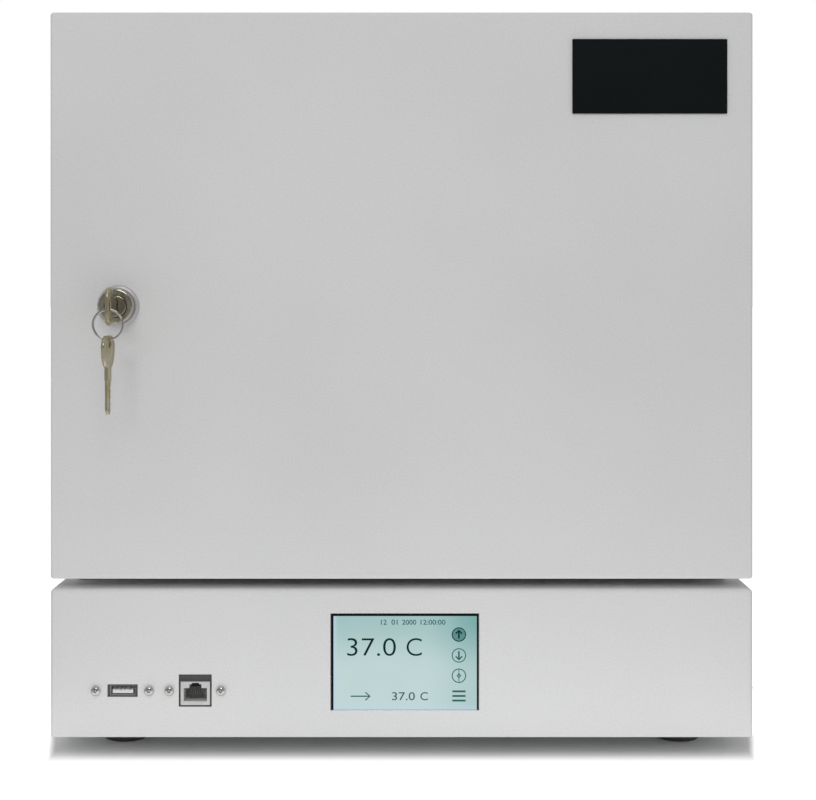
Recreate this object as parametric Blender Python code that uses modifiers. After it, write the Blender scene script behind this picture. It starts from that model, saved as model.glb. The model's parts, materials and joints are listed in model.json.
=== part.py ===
# Bench-top refrigerated incubator with a front door, built as separate pieces.
# Metres, +Z up. The front faces -Y and the hinge is on the right, at +X.
# The origin is on the table, under the middle of the whole object.

import math

import bmesh
import bpy
from mathutils import Matrix, Vector

MM = 0.001
MERGE = 1e-6  # points closer than this are one point

# Clearances
SEAT = 0.3 * MM  # between pieces that rest on or in each other
RUN = 0.1 * MM  # radial, between the corners of a turning shaft and its bore
SWING = 0.8 * MM  # beside a lever or a rocker that swings past a fixed piece
PAST = 2 * MM  # how far a cutter reaches past the face it cuts

# Sides of round shapes
FINE_SIDES = 32
LARGE_SIDES = 24
MEDIUM_SIDES = 16
SMALL_SIDES = 12
HOLE_SIDES = 8
WIRE_SIDES = 5

# Sheet metal
SHEET = 1.2 * MM
FRONT_Y = -182 * MM  # plane of the door's face and of the base's face

# Door
DOOR_W = 362 * MM
DOOR_H = 292 * MM
DOOR_DEEP = 20 * MM
DOOR_EDGE = 1.6 * MM
DOOR_GAP = 5 * MM  # open gap between the door and the base under it
PLUG_DEEP = 13 * MM  # how far the raised middle of the door liner stands back
PLUG_CLEAR = 6 * MM  # between that raised middle and the chamber's walls
PLUG_TAPER = 4 * MM
GASKET_SPACE = 7 * MM  # from the back of the door to the front of the cabinet
GASKET_W = 8 * MM
GASKET_EDGE = 1.2 * MM
GASKET_CLEAR = 0.4 * MM  # between the gasket and the edge of the opening

# Base
BASE_H = 76.2 * MM
BASE_EDGE = 2.2 * MM
FOOT_D = 26 * MM
FOOT_H = 10 * MM
FOOT_TAPER = 2 * MM
FOOT_EDGE = 0.8 * MM
FOOT_IN_X = 33 * MM  # foot centre from the base's side
FOOT_IN_Y = 38 * MM  # foot centre from the base's front or back

# Cabinet
CABINET_SIDE_INSET = 8 * MM
CABINET_TOP_INSET = 6 * MM
CABINET_EDGE = 1.6 * MM
WALL_SIDE = 50 * MM
WALL_END = 40 * MM
LINER_T = 1 * MM
LINER_CORNER = 5 * MM
CHAMBER_DEEP = 272 * MM

# Cooling, from the chamber's back wall to the back of the cabinet
COLD_W = 120 * MM
COLD_H = 110 * MM
COLD_BASE_T = 6 * MM
COLD_FIN_L = 22 * MM
COLD_FINS = 15
FIN_T = 1.6 * MM
BLOCK_W = 50 * MM
BLOCK_L = 34 * MM
MODULE_W = 40 * MM
MODULE_T = 3.8 * MM
HOT_W = 150 * MM
HOT_H = 130 * MM
HOT_BASE_T = 8 * MM
HOT_FIN_L = 27.8 * MM
HOT_FINS = 18

# Fans
FAN_T = 25 * MM
INNER_FAN_W = 80 * MM
REAR_FAN_W = 92 * MM
FAN_RIM = 2.2 * MM
FAN_CORNER = 4 * MM
FAN_BLADES = 7
FAN_TIP_CLEAR = 1 * MM
FAN_PLATE_T = 3 * MM
FAN_STRUT_W = 4 * MM
FAN_HUB_D = 34 * MM
FAN_SHAFT_D = 3 * MM
FAN_HOLE_IN = 4.3 * MM  # mounting hole from the frame's edge
BLADE_T = 1.4 * MM
BLADE_SWEEP = math.radians(19)  # half the angle that a blade covers
BLADE_LEAN = 0.5  # how far the tip leads the root, as a share of that angle
BLADE_TAPER = 0.35  # share of its depth that a blade loses towards the tip
BLADE_CAMBER = 0.15
BLADE_ROOT_IN = 1.5 * MM  # how deep a blade sits in the hub
BLADE_STEPS = 3
GUARD_WIRE = 2 * MM
GUARD_BAR = 1.8 * MM
GUARD_RINGS = 4
GUARD_SIDES = 4
GUARD_STEP = 9.5 * MM
GUARD_FIRST = 10 * MM
GUARD_PAD_D = 8 * MM
GUARD_BAR_FIRST = 5 * MM

# Air guide in the chamber
BAFFLE_FLANGE = 12 * MM
BAFFLE_SLOTS = 9
BAFFLE_SLOT_W = 6 * MM
BAFFLE_SLOT_H = 16 * MM
BAFFLE_SLOT_IN = 9 * MM
PROBE_D = 4 * MM
PROBE_L = 38 * MM
PROBE_NUT_D = 10 * MM
PROBE_NUT_T = 4 * MM
PROBE_TIP_L = 2.2 * MM
PROBE_TIP_D = 2.4 * MM
PROBE_TAIL = 6 * MM
PROBE_IN = 35 * MM  # from the chamber's right wall
PROBE_UP = 66 * MM  # above the middle of the chamber

# Shelves
RACK_T = 1.2 * MM
RACK_FRONT_IN = 12 * MM
RACK_BACK_IN = 6 * MM
RACK_END_IN = 10 * MM
RACK_LEVELS = 5
RACK_PITCH = 34 * MM
RACK_FIRST = 24 * MM  # lowest ledge above the rack's foot
LEDGE_W = 10 * MM
LEDGE_T = 1.2 * MM
SHELF_LEVELS = (1, 3)  # ledges that carry a shelf, counted from 0 at the foot
SHELF_FRAME_D = 4 * MM
SHELF_WIRE_D = 2.4 * MM
SHELF_WIRES = 12
SHELF_SIDE_IN = 1.5 * MM
SHELF_END_IN = 4 * MM
SHELF_CORNER = 6 * MM
SHELF_CORNER_STEPS = 3

# Piano hinge
HINGE_H = 272 * MM
HINGE_R = 2.4 * MM
HINGE_PIN_D = 2.4 * MM
HINGE_KNUCKLES = 11
HINGE_LEAF_T = 0.9 * MM
HINGE_LEAF_W = 22 * MM
HINGE_TUCK = 0.05 * MM  # leaf face inside the knuckle's widest point
HINGE_HOLES = 6
HINGE_HOLE_D = 3.6 * MM
HINGE_HOLE_OUT = 13 * MM

# Cam lock and keys
LOCK_IN = 35.3 * MM  # lock axis from the door's left edge
LOCK_UP = 140.6 * MM  # lock axis above the door's lower edge
LOCK_HEAD_D = 21.6 * MM
LOCK_FACE_D = 18.4 * MM
LOCK_FACE_OUT = 9 * MM
LOCK_RIM_T = 2.4 * MM
LOCK_EDGE = 0.7 * MM
LOCK_FLARE = 0.4 * MM  # how far the raised face widens towards its rim
LOCK_BARREL_D = 16 * MM
LOCK_PLUG_D = 11 * MM
LOCK_NUT_W = 20 * MM
LOCK_NUT_T = 3.5 * MM
PLUG_FACE_IN = 0.3 * MM
PLUG_TAIL_W = 7 * MM
KEYWAY_CLEAR = 0.3 * MM
KEYWAY_EXTRA = 1.5 * MM
CAM_T = 2.5 * MM
CAM_STEPS = 8
CAM_REACH = 18 * MM
CAM_BOSS_R = 7 * MM
CAM_END_R = 5 * MM
CAM_SCREW_D = 3.6 * MM
CAM_SCREW_HEAD_D = 9.6 * MM
CAM_SCREW_HEAD_T = 2 * MM
CAM_SCREW_L = 9 * MM
CAM_SCREW_EDGE = 0.9 * MM
STRIKE_SLOT_SIDE = 2 * MM  # beside the cam as the door shuts
STRIKE_ROOM = 3 * MM  # round the cam's sweep, inside the strike box
STRIKE_DEEP = 10 * MM
STRIKE_T = 0.8 * MM
KEY_T = 2 * MM
KEY_BLADE_T = 1.5 * MM
KEY_BOW_W = 19.5 * MM
KEY_BOW_L = 16.4 * MM
KEY_BOW_CORNER = 6 * MM
KEY_NECK_W = 7 * MM
KEY_NECK_L = 6.6 * MM
KEY_WAIST_W = 5.6 * MM
KEY_COLLAR_L = 2 * MM
KEY_STEPS = 5
KEY_BLADE_W = 5.6 * MM
KEY_BLADE_L = 16.2 * MM
KEY_CUTS = 4
KEY_CUT_DEEP = 1.1 * MM
KEY_CUT_SHALLOW = 0.7 * MM
KEY_CUT_RAMP = 0.4  # share of a cut's pitch that each of its slopes takes
KEY_TIP_L = 2 * MM
KEY_TIP_HALF = 0.7 * MM
KEY_SHOULDER_RUN = 1.5 * MM  # uncut length behind the shoulder
KEY_HOLE_D = 5 * MM
KEY_HOLE_IN = 3.7 * MM  # hole centre from the bow's end
KEY_SHOULDER_OUT = 0.2 * MM
RING_R = 7.45 * MM
RING_WIRE = 1.2 * MM
RING_WIRE_SIDES = 6
SPARE_TURN = math.radians(13)  # the hanging key's turn about the vertical

# Display
DISPLAY_X = 1.7 * MM
DISPLAY_UP = 38.7 * MM  # above the base's lower edge
DISPLAY_W = 76.6 * MM
DISPLAY_H = 49.9 * MM
GLASS_T = 1.1 * MM
LCD_W = 80 * MM
LCD_H = 63.9 * MM
LCD_T = 3.2 * MM
LCD_EDGE = 0.5 * MM
BOARD_W = 108 * MM
BOARD_H = 62 * MM
BOARD_T = 1.6 * MM
BOARD_POST_D = 6 * MM
BOARD_POST_IN = 5 * MM
CHIP_SUNK = 0.4 * MM
BOARD_CHIPS_MM = (  # from the board's middle: across, up, width, height, depth
    (-20, 8, 22, 22, 2.5),  # processor
    (25, 10, 16, 20, 12.5),  # relay
    (10, -22, 60, 9, 10),  # terminal strip
    (-38, -20, 8, 16, 5),  # plug of the screen's cable
)

# Ports on the front
PORT_UP = 23.9 * MM
USB_IN = 37.4 * MM  # socket centre from the base's left side
USB_CUT_W = 15.6 * MM
USB_CUT_H = 6.5 * MM
USB_SHELL_W = 13.6 * MM
USB_SHELL_H = 5.8 * MM
USB_LIP_T = 0.5 * MM
USB_DEEP = 12 * MM
USB_BODY_L = 16 * MM
USB_TONGUE_W = 11 * MM
USB_TONGUE_T = 1.8 * MM
USB_TONGUE_DROP = 0.4 * MM  # tongue's middle below the shell's
USB_SCREWS = 27.4 * MM
USB_PLATE_H = 13 * MM
NET_IN = 74.8 * MM  # socket centre from the base's left side
NET_CUT_W = 17 * MM
NET_CUT_H = 16.7 * MM
NET_BODY_W = 15.1 * MM
NET_BODY_H = 12 * MM
NET_BODY_L = 19 * MM
NET_BODY_DROP = 1.5 * MM  # body's middle below the cut-out's
NET_HOLE_W = 11.9 * MM
NET_HOLE_H = 6.7 * MM
NET_HOLE_UP = 2 * MM  # socket floor above the body's underside
NET_STEP_W = 6.3 * MM
NET_STEP_H = 2 * MM
NET_LATCH_W = 3.8 * MM
NET_LATCH_H = 0.7 * MM
NET_DEEP = 13 * MM
NET_SCREWS = 26.6 * MM
NET_PLATE_H = 20 * MM
PORT_BACK = 0.2 * MM  # socket rim behind the panel's face
PORT_PLATE_W = 35 * MM
PORT_PLATE_T = 1.5 * MM
PORT_HOLE_D = 3.5 * MM
SCREW_D = 2.8 * MM
SCREW_L = 6 * MM
SCREW_HEAD_D = 4.7 * MM
SCREW_HEAD_T = 1.7 * MM
SCREW_HEAD_STEPS = 3

# Power
SUPPLY_W = 159 * MM
SUPPLY_D = 97 * MM
SUPPLY_H = 38 * MM
SUPPLY_IN = 41.5 * MM  # from the base's left side
SUPPLY_BACK = 60 * MM  # from the back of the base
SUPPLY_EDGE = 1 * MM
SWITCH_BACK = 30 * MM  # switch centre behind the front
SWITCH_UP = 27 * MM
SWITCH_FLANGE_W = 16 * MM
SWITCH_FLANGE_H = 24 * MM
SWITCH_FLANGE_T = 2 * MM
SWITCH_BODY_W = 13.6 * MM
SWITCH_BODY_H = 22 * MM
SWITCH_BODY_L = 16 * MM
ROCKER_W = 10.6 * MM
ROCKER_HALF = 9.3 * MM
ROCKER_TILT = math.radians(9)
ROCKER_PIVOT_IN = 3 * MM
ROCKER_CREST = 5.4 * MM  # middle of the rocker's face from its pivot
ROCKER_ROOT = 3.4 * MM
ROCKER_ROOT_HALF = 7.6 * MM
ROCKER_SIDE = 0.4 * MM
ROCKER_PIN_D = 2.6 * MM
ROCKER_PIN_L = 1 * MM
INLET_IN = 69 * MM  # from the base's right side
INLET_UP = 38 * MM
INLET_W = 27 * MM
INLET_H = 20 * MM
INLET_CAVITY_W = 24.4 * MM
INLET_CAVITY_H = 16.5 * MM
INLET_CORNER = 3.7 * MM
INLET_DEEP = 16 * MM
INLET_BODY_L = 20 * MM
INLET_FLANGE_W = 50 * MM
INLET_FLANGE_H = 26 * MM
INLET_FLANGE_T = 2.5 * MM
INLET_PIN_W = 2 * MM
INLET_PIN_H = 4 * MM
INLET_PIN_L = 13 * MM
INLET_PIN_OUT = 7 * MM
INLET_PIN_OFF = 2 * MM
VENT_W = 3 * MM
VENT_STEP = 7 * MM
VENT_H = 40 * MM
BASE_VENTS = 12
VENT_BASE_IN = 71 * MM  # middle of the row, from the base's left side
PANEL_VENTS = 8
VENT_PANEL_OUT = 70 * MM
VENT_PANEL_H = 90 * MM

# Badge place on the door
BADGE_W = 79.7 * MM
BADGE_H = 38.4 * MM
BADGE_T = 1 * MM
BADGE_IN = 53.3 * MM  # badge centre from the door's right edge
BADGE_DOWN = 33.2 * MM  # badge centre from the door's top edge
BADGE_EDGE = 0.4 * MM

EMPTY_SIZE = 10 * MM  # how large the empties on the joint axes are drawn

# Places worked out from the sizes above
DOOR_LOW = FOOT_H + BASE_H + DOOR_GAP
DOOR_HIGH = DOOR_LOW + DOOR_H
DOOR_BACK = FRONT_Y + DOOR_DEEP
HALF_W = DOOR_W / 2
BASE_TOP = FOOT_H + BASE_H
CAB_HALF = HALF_W - CABINET_SIDE_INSET
CAB_LOW = BASE_TOP + SEAT
CAB_HIGH = DOOR_HIGH - CABINET_TOP_INSET
CAB_FRONT = DOOR_BACK + GASKET_SPACE
ROOM_HALF = CAB_HALF - WALL_SIDE
ROOM_LOW = CAB_LOW + WALL_END
ROOM_HIGH = CAB_HIGH - WALL_END
ROOM_MID = (ROOM_LOW + ROOM_HIGH) / 2
ROOM_BACK = CAB_FRONT + CHAMBER_DEEP
OPENING_OUT = LINER_T + SEAT  # the front opening is this much wider than the room
COLD_BACK = ROOM_BACK - SEAT
COLD_FRONT = COLD_BACK - COLD_BASE_T - COLD_FIN_L
INNER_FAN_Y = COLD_FRONT - SEAT - FAN_T
BAFFLE_Y = INNER_FAN_Y - SEAT - SHEET
BLOCK_END = ROOM_BACK + BLOCK_L
MODULE_Y = BLOCK_END + SEAT
HOT_Y = MODULE_Y + MODULE_T + SEAT
FOAM_BACK = HOT_Y - SEAT
HOT_END = HOT_Y + HOT_BASE_T + HOT_FIN_L
REAR_FAN_Y = HOT_END + SEAT
BACK_Y = REAR_FAN_Y + FAN_T + SEAT + SHEET
LOCK_X = LOCK_IN - HALF_W
LOCK_Z = DOOR_LOW + LOCK_UP
CAM_Y = CAB_FRONT + SHEET + SWING
HINGE_X = CAB_HALF + SEAT + HINGE_R - HINGE_TUCK
HINGE_Y = DOOR_BACK + SEAT + HINGE_R - HINGE_TUCK
HINGE_LOW = (DOOR_LOW + CAB_HIGH) / 2 - HINGE_H / 2
GASKET_IN = OPENING_OUT + SEAT + GASKET_CLEAR
RACK_LOW = ROOM_LOW + RACK_END_IN
KEY_L = KEY_BOW_L + KEY_NECK_L + KEY_BLADE_L
KEY_END_Y = FRONT_Y - LOCK_FACE_OUT - KEY_SHOULDER_OUT - KEY_BOW_L - KEY_NECK_L
RING_Y = KEY_END_Y + KEY_HOLE_IN
RING_TOP_Z = LOCK_Z - KEY_HOLE_D / 2 + RING_WIRE / 2 + SEAT
SPARE_Z = RING_TOP_Z - 2 * RING_R
BADGE_X = HALF_W - BADGE_IN
BADGE_Z = DOOR_HIGH - BADGE_DOWN
DISPLAY_Z = FOOT_H + DISPLAY_UP
USB_X = USB_IN - HALF_W
NET_X = NET_IN - HALF_W
PORT_Z = FOOT_H + PORT_UP
SWITCH_Z = FOOT_H + SWITCH_UP
SWITCH_Y = FRONT_Y + SWITCH_BACK
INLET_X = HALF_W - INLET_IN
INLET_Z = FOOT_H + INLET_UP
VENT_BASE_X = VENT_BASE_IN - HALF_W
SUPPLY_X = SUPPLY_IN - HALF_W + SUPPLY_W / 2
PROBE_X = ROOM_HALF - PROBE_IN

# Turns a drawing in local XY upright, to face the front: its Y becomes up
UPRIGHT = Matrix(((1, 0, 0), (0, 0, -1), (0, 1, 0))).to_4x4()
TO_FRONT = (math.pi / 2, 0, 0)  # turns a height along +Z into one along -Y


def clear_scene():
    for obj in list(bpy.data.objects):
        bpy.data.objects.remove(obj, do_unlink=True)


def new_collection(name):
    found = bpy.data.collections.new(name)
    bpy.context.scene.collection.children.link(found)
    return found


clear_scene()
PARTS = new_collection("refrigerated_incubator")
CUTTERS = new_collection("cutters")


def material(name, colour, roughness, metallic=0.0):
    made = bpy.data.materials.new(name)
    made.use_nodes = True
    shader = made.node_tree.nodes["Principled BSDF"]
    shader.inputs["Base Color"].default_value = (*colour, 1.0)
    shader.inputs["Roughness"].default_value = roughness
    shader.inputs["Metallic"].default_value = metallic
    return made


POWDER = material("pale_grey_powder_coat", (0.56, 0.56, 0.56), 0.55)
ZINC = material("zinc_plated_steel", (0.62, 0.62, 0.60), 0.4, 1.0)
STEEL = material("stainless_steel", (0.66, 0.66, 0.66), 0.3, 1.0)
ALUMINIUM = material("aluminium", (0.72, 0.72, 0.73), 0.4, 1.0)
NICKEL = material("polished_nickel", (0.74, 0.72, 0.68), 0.18, 1.0)
BRASS = material("worn_nickel_on_brass", (0.60, 0.53, 0.40), 0.3, 1.0)
LINER_WHITE = material("white_liner_plastic", (0.80, 0.81, 0.80), 0.4)
FOAM = material("pale_yellow_foam", (0.78, 0.70, 0.45), 0.9)
RUBBER = material("black_rubber", (0.03, 0.03, 0.03), 0.8)
GREY_RUBBER = material("grey_gasket_vinyl", (0.30, 0.30, 0.31), 0.6)
BLACK_PLASTIC = material("black_plastic", (0.025, 0.025, 0.027), 0.45)
BOARD_GREEN = material("green_circuit_board", (0.02, 0.16, 0.07), 0.5)
CERAMIC = material("white_ceramic", (0.85, 0.85, 0.83), 0.6)
SCREEN = material("pale_teal_screen", (0.50, 0.70, 0.69), 0.15)
BADGE_BLACK = material("black_label", (0.015, 0.015, 0.015), 0.35)


def link(obj, mat, as_cutter):
    (CUTTERS if as_cutter else PARTS).objects.link(obj)
    if as_cutter:
        obj.hide_render = True
        obj.display_type = "WIRE"
    else:
        obj.data.materials.append(mat)
    return obj


def make(name, bm, origin, mat=None):
    """An object of a mesh drawn in world places, with its origin at a point."""
    mesh = bpy.data.meshes.new(name)
    bm.to_mesh(mesh)
    bm.free()
    mesh.transform(Matrix.Translation(-Vector(origin)))
    obj = bpy.data.objects.new(name, mesh)
    obj.location = origin
    return link(obj, mat, mat is None)


def axis(name, place, carrier=None):
    """An empty on a joint's axis, which carries the pieces that move there."""
    empty = bpy.data.objects.new(name, None)
    empty.location = place
    empty.empty_display_size = EMPTY_SIZE
    PARTS.objects.link(empty)
    if carrier:
        carry(carrier, empty)
    return empty


def carry(carrier, *pieces):
    """Parents pieces to what carries them, with all that cuts or joins them."""
    for piece in pieces:
        if piece.parent is None:
            piece.parent = carrier
            piece.matrix_parent_inverse = carrier.matrix_basis.inverted()
            carry(carrier, *[step.object for step in piece.modifiers if step.type == "BOOLEAN"])


def add_box(bm, low, high):
    size = [b - a for a, b in zip(low, high)]
    middle = [(a + b) / 2 for a, b in zip(low, high)]
    place = Matrix.Translation(middle) @ Matrix.Diagonal((*size, 1))
    return bmesh.ops.create_cube(bm, size=1, matrix=place)["verts"]


def add_rod(bm, start, end, radius, sides):
    line = Vector(end) - Vector(start)
    turn = line.to_track_quat("Z", "Y").to_matrix().to_4x4()
    place = Matrix.Translation((Vector(start) + Vector(end)) / 2) @ turn
    bmesh.ops.create_cone(
        bm,
        cap_ends=True,
        segments=sides,
        radius1=radius,
        radius2=radius,
        depth=line.length,
        matrix=place,
    )


def middle_of(low, high):
    return [(a + b) / 2 for a, b in zip(low, high)]


def box(name, low, high, mat=None):
    bm = bmesh.new()
    add_box(bm, low, high)
    return make(name, bm, middle_of(low, high), mat)


def boxes(name, pairs, origin, mat=None):
    bm = bmesh.new()
    for low, high in pairs:
        add_box(bm, low, high)
    return make(name, bm, origin, mat)


def rods(name, lines, radius, sides, origin, mat=None):
    bm = bmesh.new()
    for start, end in lines:
        add_rod(bm, start, end, radius, sides)
    return make(name, bm, origin, mat)


def pan(name, low, high, open_sides, wall, mat, outward=False, edge=0.0):
    """A box of sheet with some sides left off, its walls inside or outside it."""
    bm = bmesh.new()
    add_box(bm, low, high)
    bmesh.ops.recalc_face_normals(bm, faces=bm.faces)
    bm.normal_update()
    gone = [f for f in bm.faces if any(f.normal.dot(Vector(s)) > 0.9 for s in open_sides)]
    bmesh.ops.delete(bm, geom=gone, context="FACES")
    obj = make(name, bm, middle_of(low, high), mat)
    if edge:
        bevel(obj, edge, 3)
    wall_of = obj.modifiers.new("wall", "SOLIDIFY")
    wall_of.thickness = wall
    wall_of.offset = 1 if outward else -1
    wall_of.use_even_offset = True
    return obj


def bevel(obj, width, segments=2):
    edge = obj.modifiers.new("edge", "BEVEL")
    edge.width = width
    edge.segments = segments
    edge.limit_method = "ANGLE"
    edge.angle_limit = math.radians(40)
    return obj


def combine(obj, other, operation):
    step = obj.modifiers.new(operation.lower(), "BOOLEAN")
    step.operation = operation
    step.object = other
    return obj


def cut(obj, *others):
    for other in others:
        combine(obj, other, "DIFFERENCE")
    return obj


def join(obj, *others):
    for other in others:
        combine(obj, other, "UNION")
    return obj


def rounded(obj):
    """Shades a mesh object smooth, apart from its sharp edges."""
    obj.data.shade_smooth()
    obj.data.set_sharp_from_angle(angle=math.radians(35))
    return obj


def turned(name, loops, origin, sides, mat=None, rotation=(0, 0, 0), closed=True):
    """Profiles of (radius, height), down the outer side, turned about local Z."""
    bm = bmesh.new()
    for loop in loops:
        verts = [bm.verts.new((r, 0, h)) for r, h in loop]
        pairs = list(zip(verts, verts[1:]))
        if closed:
            pairs.append((verts[-1], verts[0]))
        for a, b in pairs:
            bm.edges.new((a, b))
    obj = make(name, bm, (0, 0, 0), mat)
    obj.location = origin
    obj.rotation_euler = rotation
    spin = obj.modifiers.new("turn", "SCREW")
    spin.steps = sides
    spin.render_steps = sides
    spin.use_merge_vertices = True
    spin.merge_threshold = MERGE
    spin.use_smooth_shade = True
    return obj


def mesh_of(curve):
    """The closed mesh of a curve, which is then removed."""
    drawn = bpy.data.objects.new(curve.name, curve)
    bpy.context.scene.collection.objects.link(drawn)
    graph = bpy.context.evaluated_depsgraph_get()
    mesh = bpy.data.meshes.new_from_object(drawn.evaluated_get(graph))
    mesh.name = curve.name
    bpy.data.objects.remove(drawn, do_unlink=True)
    bpy.data.curves.remove(curve)
    bm = bmesh.new()
    bm.from_mesh(mesh)
    bmesh.ops.remove_doubles(bm, verts=bm.verts, dist=MERGE)
    bmesh.ops.recalc_face_normals(bm, faces=bm.faces)
    bm.to_mesh(mesh)
    bm.free()
    return mesh


def flat(name, outlines, thickness, matrix, mat=None):
    """A plate from closed outlines, drawn in local XY and thick along local Z."""
    curve = bpy.data.curves.new(name, "CURVE")
    curve.dimensions = "2D"
    curve.fill_mode = "BOTH"
    curve.extrude = thickness / 2
    for outline in outlines:
        spline = curve.splines.new("POLY")
        spline.points.add(len(outline) - 1)
        for point, (x, y) in zip(spline.points, outline):
            point.co = (x, y, 0, 1)
        spline.use_cyclic_u = True
    obj = bpy.data.objects.new(name, mesh_of(curve))
    obj.matrix_world = matrix
    return link(obj, mat, mat is None)


def arc(centre, radius, first, last, steps):
    """Points along an arc, with angles in degrees."""
    for k in range(steps + 1):
        a = math.radians(first + (last - first) * k / steps)
        yield centre[0] + radius * math.cos(a), centre[1] + radius * math.sin(a)


def ring_hole(centre, diameter, steps):
    return list(arc(centre, diameter / 2, 0, 360, steps))[:-1]


# Base

def make_base():
    low = (-HALF_W, FRONT_Y, FOOT_H)
    high = (HALF_W, BACK_Y, BASE_TOP)
    cover = pan("base_cover", low, high, [(0, 0, -1), (0, 1, 0)], SHEET, POWDER, edge=BASE_EDGE)
    through = (FRONT_Y - PAST, FRONT_Y + SHEET + PAST)

    def front_cut(name, x, z, w, h):
        return box(name, (x - w / 2, through[0], z - h / 2), (x + w / 2, through[1], z + h / 2))

    window = front_cut("window_cut", DISPLAY_X, DISPLAY_Z, DISPLAY_W, DISPLAY_H)
    usb = front_cut("usb_cut", USB_X, PORT_Z, USB_CUT_W, USB_CUT_H)
    net = front_cut("ethernet_cut", NET_X, PORT_Z, NET_CUT_W, NET_CUT_H)
    lines = [((x, through[0], PORT_Z), (x, through[1], PORT_Z)) for x in screw_places()]
    holes = rods("port_hole_cut", lines, PORT_HOLE_D / 2, SMALL_SIDES, (0, FRONT_Y, PORT_Z))
    side = box(
        "switch_cut",
        (
            HALF_W - SHEET - PAST,
            SWITCH_Y - SWITCH_BODY_W / 2 - SEAT,
            SWITCH_Z - SWITCH_BODY_H / 2 - SEAT,
        ),
        (
            HALF_W + PAST,
            SWITCH_Y + SWITCH_BODY_W / 2 + SEAT,
            SWITCH_Z + SWITCH_BODY_H / 2 + SEAT,
        ),
    )
    cut(cover, window, usb, net, holes, side)

    inner = HALF_W - SHEET - SEAT
    low = (-inner, FRONT_Y + BASE_EDGE + SEAT, FOOT_H)
    high = (inner, BACK_Y, BASE_TOP - BASE_EDGE - SEAT)
    open_sides = [(0, 0, 1), (0, -1, 0), (1, 0, 0), (-1, 0, 0)]
    plate = pan("base_pan", low, high, open_sides, SHEET, ZINC, edge=BASE_EDGE)
    inlet = box(
        "inlet_cut",
        (INLET_X - INLET_W / 2 - SEAT, BACK_Y - SHEET - PAST, INLET_Z - INLET_H / 2 - SEAT),
        (INLET_X + INLET_W / 2 + SEAT, BACK_Y + PAST, INLET_Z + INLET_H / 2 + SEAT),
    )
    slots = slots_cut("base_vent_cut", VENT_BASE_X, INLET_Z, BASE_VENTS, VENT_H)
    cut(plate, inlet, slots)

    x = HALF_W - FOOT_IN_X
    ends = (("front", FRONT_Y + FOOT_IN_Y), ("rear", BACK_Y - FOOT_IN_Y))
    for side_name, x_place in (("left", -x), ("right", x)):
        for end_name, y_place in ends:
            make_foot(f"foot_{end_name}_{side_name}", x_place, y_place)


def slots_cut(name, x, z, count, height):
    """A row of upright slots through the back sheet."""
    pairs = []
    for k in range(count):
        left = x + (k - (count - 1) / 2) * VENT_STEP - VENT_W / 2
        low = (left, BACK_Y - SHEET - PAST, z - height / 2)
        pairs.append((low, (left + VENT_W, BACK_Y + PAST, z + height / 2)))
    return boxes(name, pairs, (x, BACK_Y, z))


def make_foot(name, x, y):
    r = FOOT_D / 2
    top = FOOT_H - SEAT
    profile = [
        (0, top),
        (r - FOOT_EDGE, top),
        (r, top - FOOT_EDGE),
        (r - FOOT_TAPER, FOOT_EDGE),
        (r - FOOT_TAPER - FOOT_EDGE, 0),
        (0, 0),
    ]
    turned(name, [profile], (x, y, 0), MEDIUM_SIDES, RUBBER, closed=False)


def screw_places():
    spans = ((USB_X, USB_SCREWS), (NET_X, NET_SCREWS))
    return [x + side * span / 2 for x, span in spans for side in (-1, 1)]


# Display and front ports

def make_display():
    y = FRONT_Y + SHEET - GLASS_T
    half_w = DISPLAY_W / 2 - SEAT
    half_h = DISPLAY_H / 2 - SEAT
    box(
        "display_glass",
        (DISPLAY_X - half_w, y, DISPLAY_Z - half_h),
        (DISPLAY_X + half_w, y + GLASS_T, DISPLAY_Z + half_h),
        SCREEN,
    )
    y += GLASS_T + SEAT
    lcd = box(
        "lcd_module",
        (DISPLAY_X - LCD_W / 2, y, DISPLAY_Z - LCD_H / 2),
        (DISPLAY_X + LCD_W / 2, y + LCD_T, DISPLAY_Z + LCD_H / 2),
        STEEL,
    )
    bevel(lcd, LCD_EDGE)
    front = y + LCD_T + SEAT
    back = front + BOARD_T
    board = box(
        "control_board",
        (DISPLAY_X - BOARD_W / 2, front, DISPLAY_Z - BOARD_H / 2),
        (DISPLAY_X + BOARD_W / 2, back, DISPLAY_Z + BOARD_H / 2),
        BOARD_GREEN,
    )
    lines = []
    for sx in (-1, 1):
        for sz in (-1, 1):
            x = DISPLAY_X + sx * (BOARD_W / 2 - BOARD_POST_IN)
            z = DISPLAY_Z + sz * (BOARD_H / 2 - BOARD_POST_IN)
            lines.append(((x, FRONT_Y + SHEET + SEAT, z), (x, front + CHIP_SUNK, z)))
    middle = (DISPLAY_X, front, DISPLAY_Z)
    posts = rods("board_posts", lines, BOARD_POST_D / 2, SMALL_SIDES, middle)
    pairs = []
    for chip in BOARD_CHIPS_MM:
        across, up, w, h, deep = [size * MM for size in chip]
        x = DISPLAY_X + across
        z = DISPLAY_Z + up
        low = (x - w / 2, back - CHIP_SUNK, z - h / 2)
        pairs.append((low, (x + w / 2, back + deep, z + h / 2)))
    join(board, posts, boxes("board_chips", pairs, middle))


def port_plate(name, x, height, span, mat):
    """The mounting plate of a panel jack, behind the front sheet."""
    y = FRONT_Y + SHEET + SEAT
    plate = box(
        name,
        (x - PORT_PLATE_W / 2, y, PORT_Z - height / 2),
        (x + PORT_PLATE_W / 2, y + PORT_PLATE_T, PORT_Z + height / 2),
        mat,
    )
    lines = []
    for side in (-1, 1):
        hole_x = x + side * span / 2
        lines.append(((hole_x, y - PAST, PORT_Z), (hole_x, y + PORT_PLATE_T + PAST, PORT_Z)))
    holes = rods(name + "_hole_cut", lines, PORT_HOLE_D / 2, SMALL_SIDES, (x, y, PORT_Z))
    return plate, holes


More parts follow.
